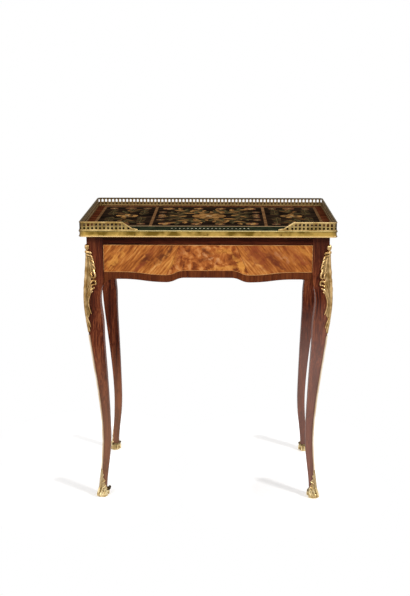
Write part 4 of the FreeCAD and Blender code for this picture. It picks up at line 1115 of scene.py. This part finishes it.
shoe_bronze = brass("shoe_bronze", (252, 230, 178), (200, 170, 114), patch=12 * MM, roughness=0.3,
                    hollows=(46, 33, 14), tint=dulled_and_shaded_shoe, stipple=2.2 * MM)
COLLAR_TOP = 21.2 * MM
SHOE_LEAF = [
    (18, 19), (25, 17), (28, 15), (31, 14.6), (34, 12.4), (37, 10.2), (39.5, 11.8), (43, 12.8), (46, 10.4),
    (49, 7.8), (51.5, 6), (54, 4.6), (57, 6.4), (60, 6.6), (63, 4.4), (65.5, 3.2), (68, 4.2), (71, 3.6),
    (74, 2), (77, 0.8),
]
SHOE_STRANDS = [
    # rib of the leaf on the arris and the lobes that rise from it
    [(78, 0.2, 0.4, 1), (64, 0.2, 0.8, 1.8), (46, 0.2, 1, 2.2), (26, 0, 1.6, 2.8)],
    [(64, 1, 0.8, 0.9), (69, 3, 1.6, 1.4), (72, 3.6, 0.9, 0.7)],
    [(51, 1.5, 1, 1.2), (57, 5, 2, 1.8), (60.5, 6.8, 1.2, 0.9)],
    [(36, 2, 1.2, 1.4), (41, 8.4, 2.4, 2.2), (44, 12.4, 1.6, 1.2)],
    [(22, 4, 1.4, 1.8), (27.5, 11, 2.6, 2.6), (31.5, 15, 1.6, 1.3)],
    # ribs on the inner faces
    [(19, 19.6, -6, 1.2), (12, 20.6, -6, 2), (4, 21, -6, 1.8)],
    [(19, 19.6, -13.5, 1.2), (12, 20.6, -13.5, 2), (4, 21, -13.5, 1.8)],
    # ribs down to the toe
    [(28, -0.5, 1.6, 2.4), (20, -3, 4, 2.8), (10, -6.4, 6.6, 2.8), (4, -6.6, 6.8, 2.4)],
    [(24, 5, 2, 1.6), (16, 3.5, 4.2, 2), (8, 2.5, 6, 2.2), (4, 2.5, 6, 1.8)],
    [(20, 11, 2, 1.4), (13, 10.5, 3.8, 1.8), (7, 11, 5.4, 2), (4, 11, 5.4, 1.6)],
]
FLAT_LIP = [[(8, 16.5, 0.4, 1.6), (15, 18.8, 0.2, 2.8), (21.4, 19.6, 0, 2.6)]]
BENT_LIP = [[(12, 16, proud, 2.2), (17.5, 19.4, proud, 3.4), (22, 22.6, proud, 3.6), (25.2, 25, proud, 3.2)]
            for proud in (0.5, -3, -6.5, -10)]


def shoe_casting(front_lip):
    """The collar of the solid shoe melted together with its leaf, its ribs and a lip on either face."""
    form = bmesh.new()
    form.from_mesh(nodes["sabot_front_left"].data)
    bmesh.ops.remove_doubles(form, verts=form.verts, dist=1e-6)
    everything = form.verts[:] + form.edges[:] + form.faces[:]
    cut = bmesh.ops.bisect_plane(form, geom=everything, plane_co=(0, 0, COLLAR_TOP), plane_no=(0, 0, 1),
                                 clear_outer=True)["geom_cut"]
    bmesh.ops.edgenet_fill(form, edges=[item for item in cut if isinstance(item, bmesh.types.BMEdge)])
    add_ground(form, SHOE_LEAF, low=-0.8, high=1.6)
    add_strands(form, SHOE_STRANDS)
    add_strands(form, front_lip, (False,))
    add_strands(form, FLAT_LIP, (True,))
    return casting(form, "shoe_casting", voxel=0.6 * MM, rounds=2)


bent_shoe = shoe_casting(BENT_LIP)
flat_shoe = shoe_casting(FLAT_LIP)
for corner in CORNERS:
    chute = chute_mesh.copy()
    shoe = bent_shoe if corner == "front_left" else flat_shoe.copy()
    if corner.endswith("right"):
        chute, shoe = mirrored(chute, 0), mirrored(shoe, 0)
    if corner.startswith("back"):
        chute, shoe = mirrored(chute, 1), mirrored(shoe, 1)
    add_piece(f"chute_{corner}_cast", chute, bronze, "table", "gilt_bronze", f"chute_{corner}")
    add_piece(f"sabot_{corner}_cast", shoe, shoe_bronze, "table", "gilt_bronze", f"sabot_{corner}")
    dress(fillet_brass, f"leg_fillet_{corner}")


# Floor and light: a plain pale floor under soft studio lamps. The floor and the world look white to the
# camera and in reflections. The floor's white is a painted light that hides its shading everywhere but
# round spots to the left of the feet, so only the shadows that fall there show.
def seen_rays(look):
    """1 for rays from the camera, reflections and refractions, 0 for light on the object."""
    rays = look.node("LightPath", {}).outputs
    seen = look.calc("MAXIMUM", rays["Is Camera Ray"], rays["Is Glossy Ray"])
    return look.calc("MAXIMUM", seen, rays["Is Transmission Ray"])


FLOOR_REACH = 6.0
# the painted light lets the floor's shadows show round spots left of the feet and behind them, in shares of
# the reach
SHADOW_FALL = (0.075 / FLOOR_REACH, -0.045 / FLOOR_REACH, 0.0)
SHADOW_NEAR = 0.085 / FLOOR_REACH
SHADOW_FAR = 0.28 / FLOOR_REACH
paper = Look(bpy.data.materials.new("floor_paper"))
paper.surface(Base_Color=(244, 244, 244), Roughness=0.9, Specular_IOR_Level=0.0)
beside = paper.vectors("ABSOLUTE", paper.vectors("ADD", paper.place(), SHADOW_FALL))
away = paper.vectors("DISTANCE", beside, (foot.x / FLOOR_REACH, foot.y / FLOOR_REACH, 0.0))
# painted light: the floor's glow, which is stronger near the feet
glow = paper.spread(away, SHADOW_NEAR, SHADOW_FAR, 0.15, 1.0)
strength = paper.spread(away, SHADOW_NEAR, SHADOW_FAR, 2.8, 1.0)
paper_light = paper.node("Emission", {"Color": WHITE, "Strength": strength})
paper_mix = paper.node("MixShader", {0: paper.times(seen_rays(paper), glow), 1: paper.shader.outputs[0],
                                     2: paper_light.outputs[0]})
paper.feed(paper.tree.nodes["Material Output"].inputs[0], paper_mix.outputs[0])
floor_mesh = bpy.data.meshes.new("floor")
floor_mesh.from_pydata([(-1, -1, 0), (1, -1, 0), (1, 1, 0), (-1, 1, 0)], [], [(0, 1, 2, 3)])
floor_mesh.materials.append(paper.owner)
floor = add_object("floor", floor_mesh)
floor.scale = (FLOOR_REACH, FLOOR_REACH, 1.0)

ROOM_LIGHT = 0.32
sky = Look(bpy.data.worlds.new("studio"), "Background")
sky.surface(Color=WHITE, Strength=sky.mix(seen_rays(sky), ROOM_LIGHT, 1.0))
bpy.context.scene.world = sky.owner


def lamp(name, place, target, size, power):
    light = bpy.data.lights.new(name, "AREA")
    light.shape = "DISK"
    light.size = size
    light.energy = power
    holder = add_object(name, light)
    holder.location = place
    holder.rotation_euler = (Vector(target) - Vector(place)).to_track_quat("-Z", "Y").to_euler()


TABLE_MIDDLE = (0.0, 0.0, 0.45)
lamp("key_lamp", (2.45, -1.95, 2.3), TABLE_MIDDLE, size=0.36, power=60.0)
lamp("fill_lamp", (-2.1, -2.3, 2.2), TABLE_MIDDLE, size=2.4, power=53.0)
lamp("top_lamp", (0.1, 0.4, 3.0), TABLE_MIDDLE, size=2.0, power=25.0)

# Camera: a little right of the middle and above the top, as the table was photographed.
# It looks slightly down and to the left, and its lens is worked out from the fitted focal length.
IMAGE_HEIGHT = 596
FOCAL_PIXELS = 1061.8
CAMERA_DOWN = 0.239
CAMERA_LEFT = 0.0174
camera_data = bpy.data.cameras.new("camera")
camera_data.sensor_fit = "VERTICAL"
camera_data.sensor_height = 36.0
camera_data.lens = camera_data.sensor_height * FOCAL_PIXELS / IMAGE_HEIGHT
camera = add_object("camera", camera_data)
camera.location = (0.0378, -2.7725, 1.1744)
camera.rotation_euler = (math.pi / 2 - CAMERA_DOWN, 0.0, CAMERA_LEFT)
bpy.context.scene.camera = camera
bpy.context.scene.view_settings.view_transform = "Standard"
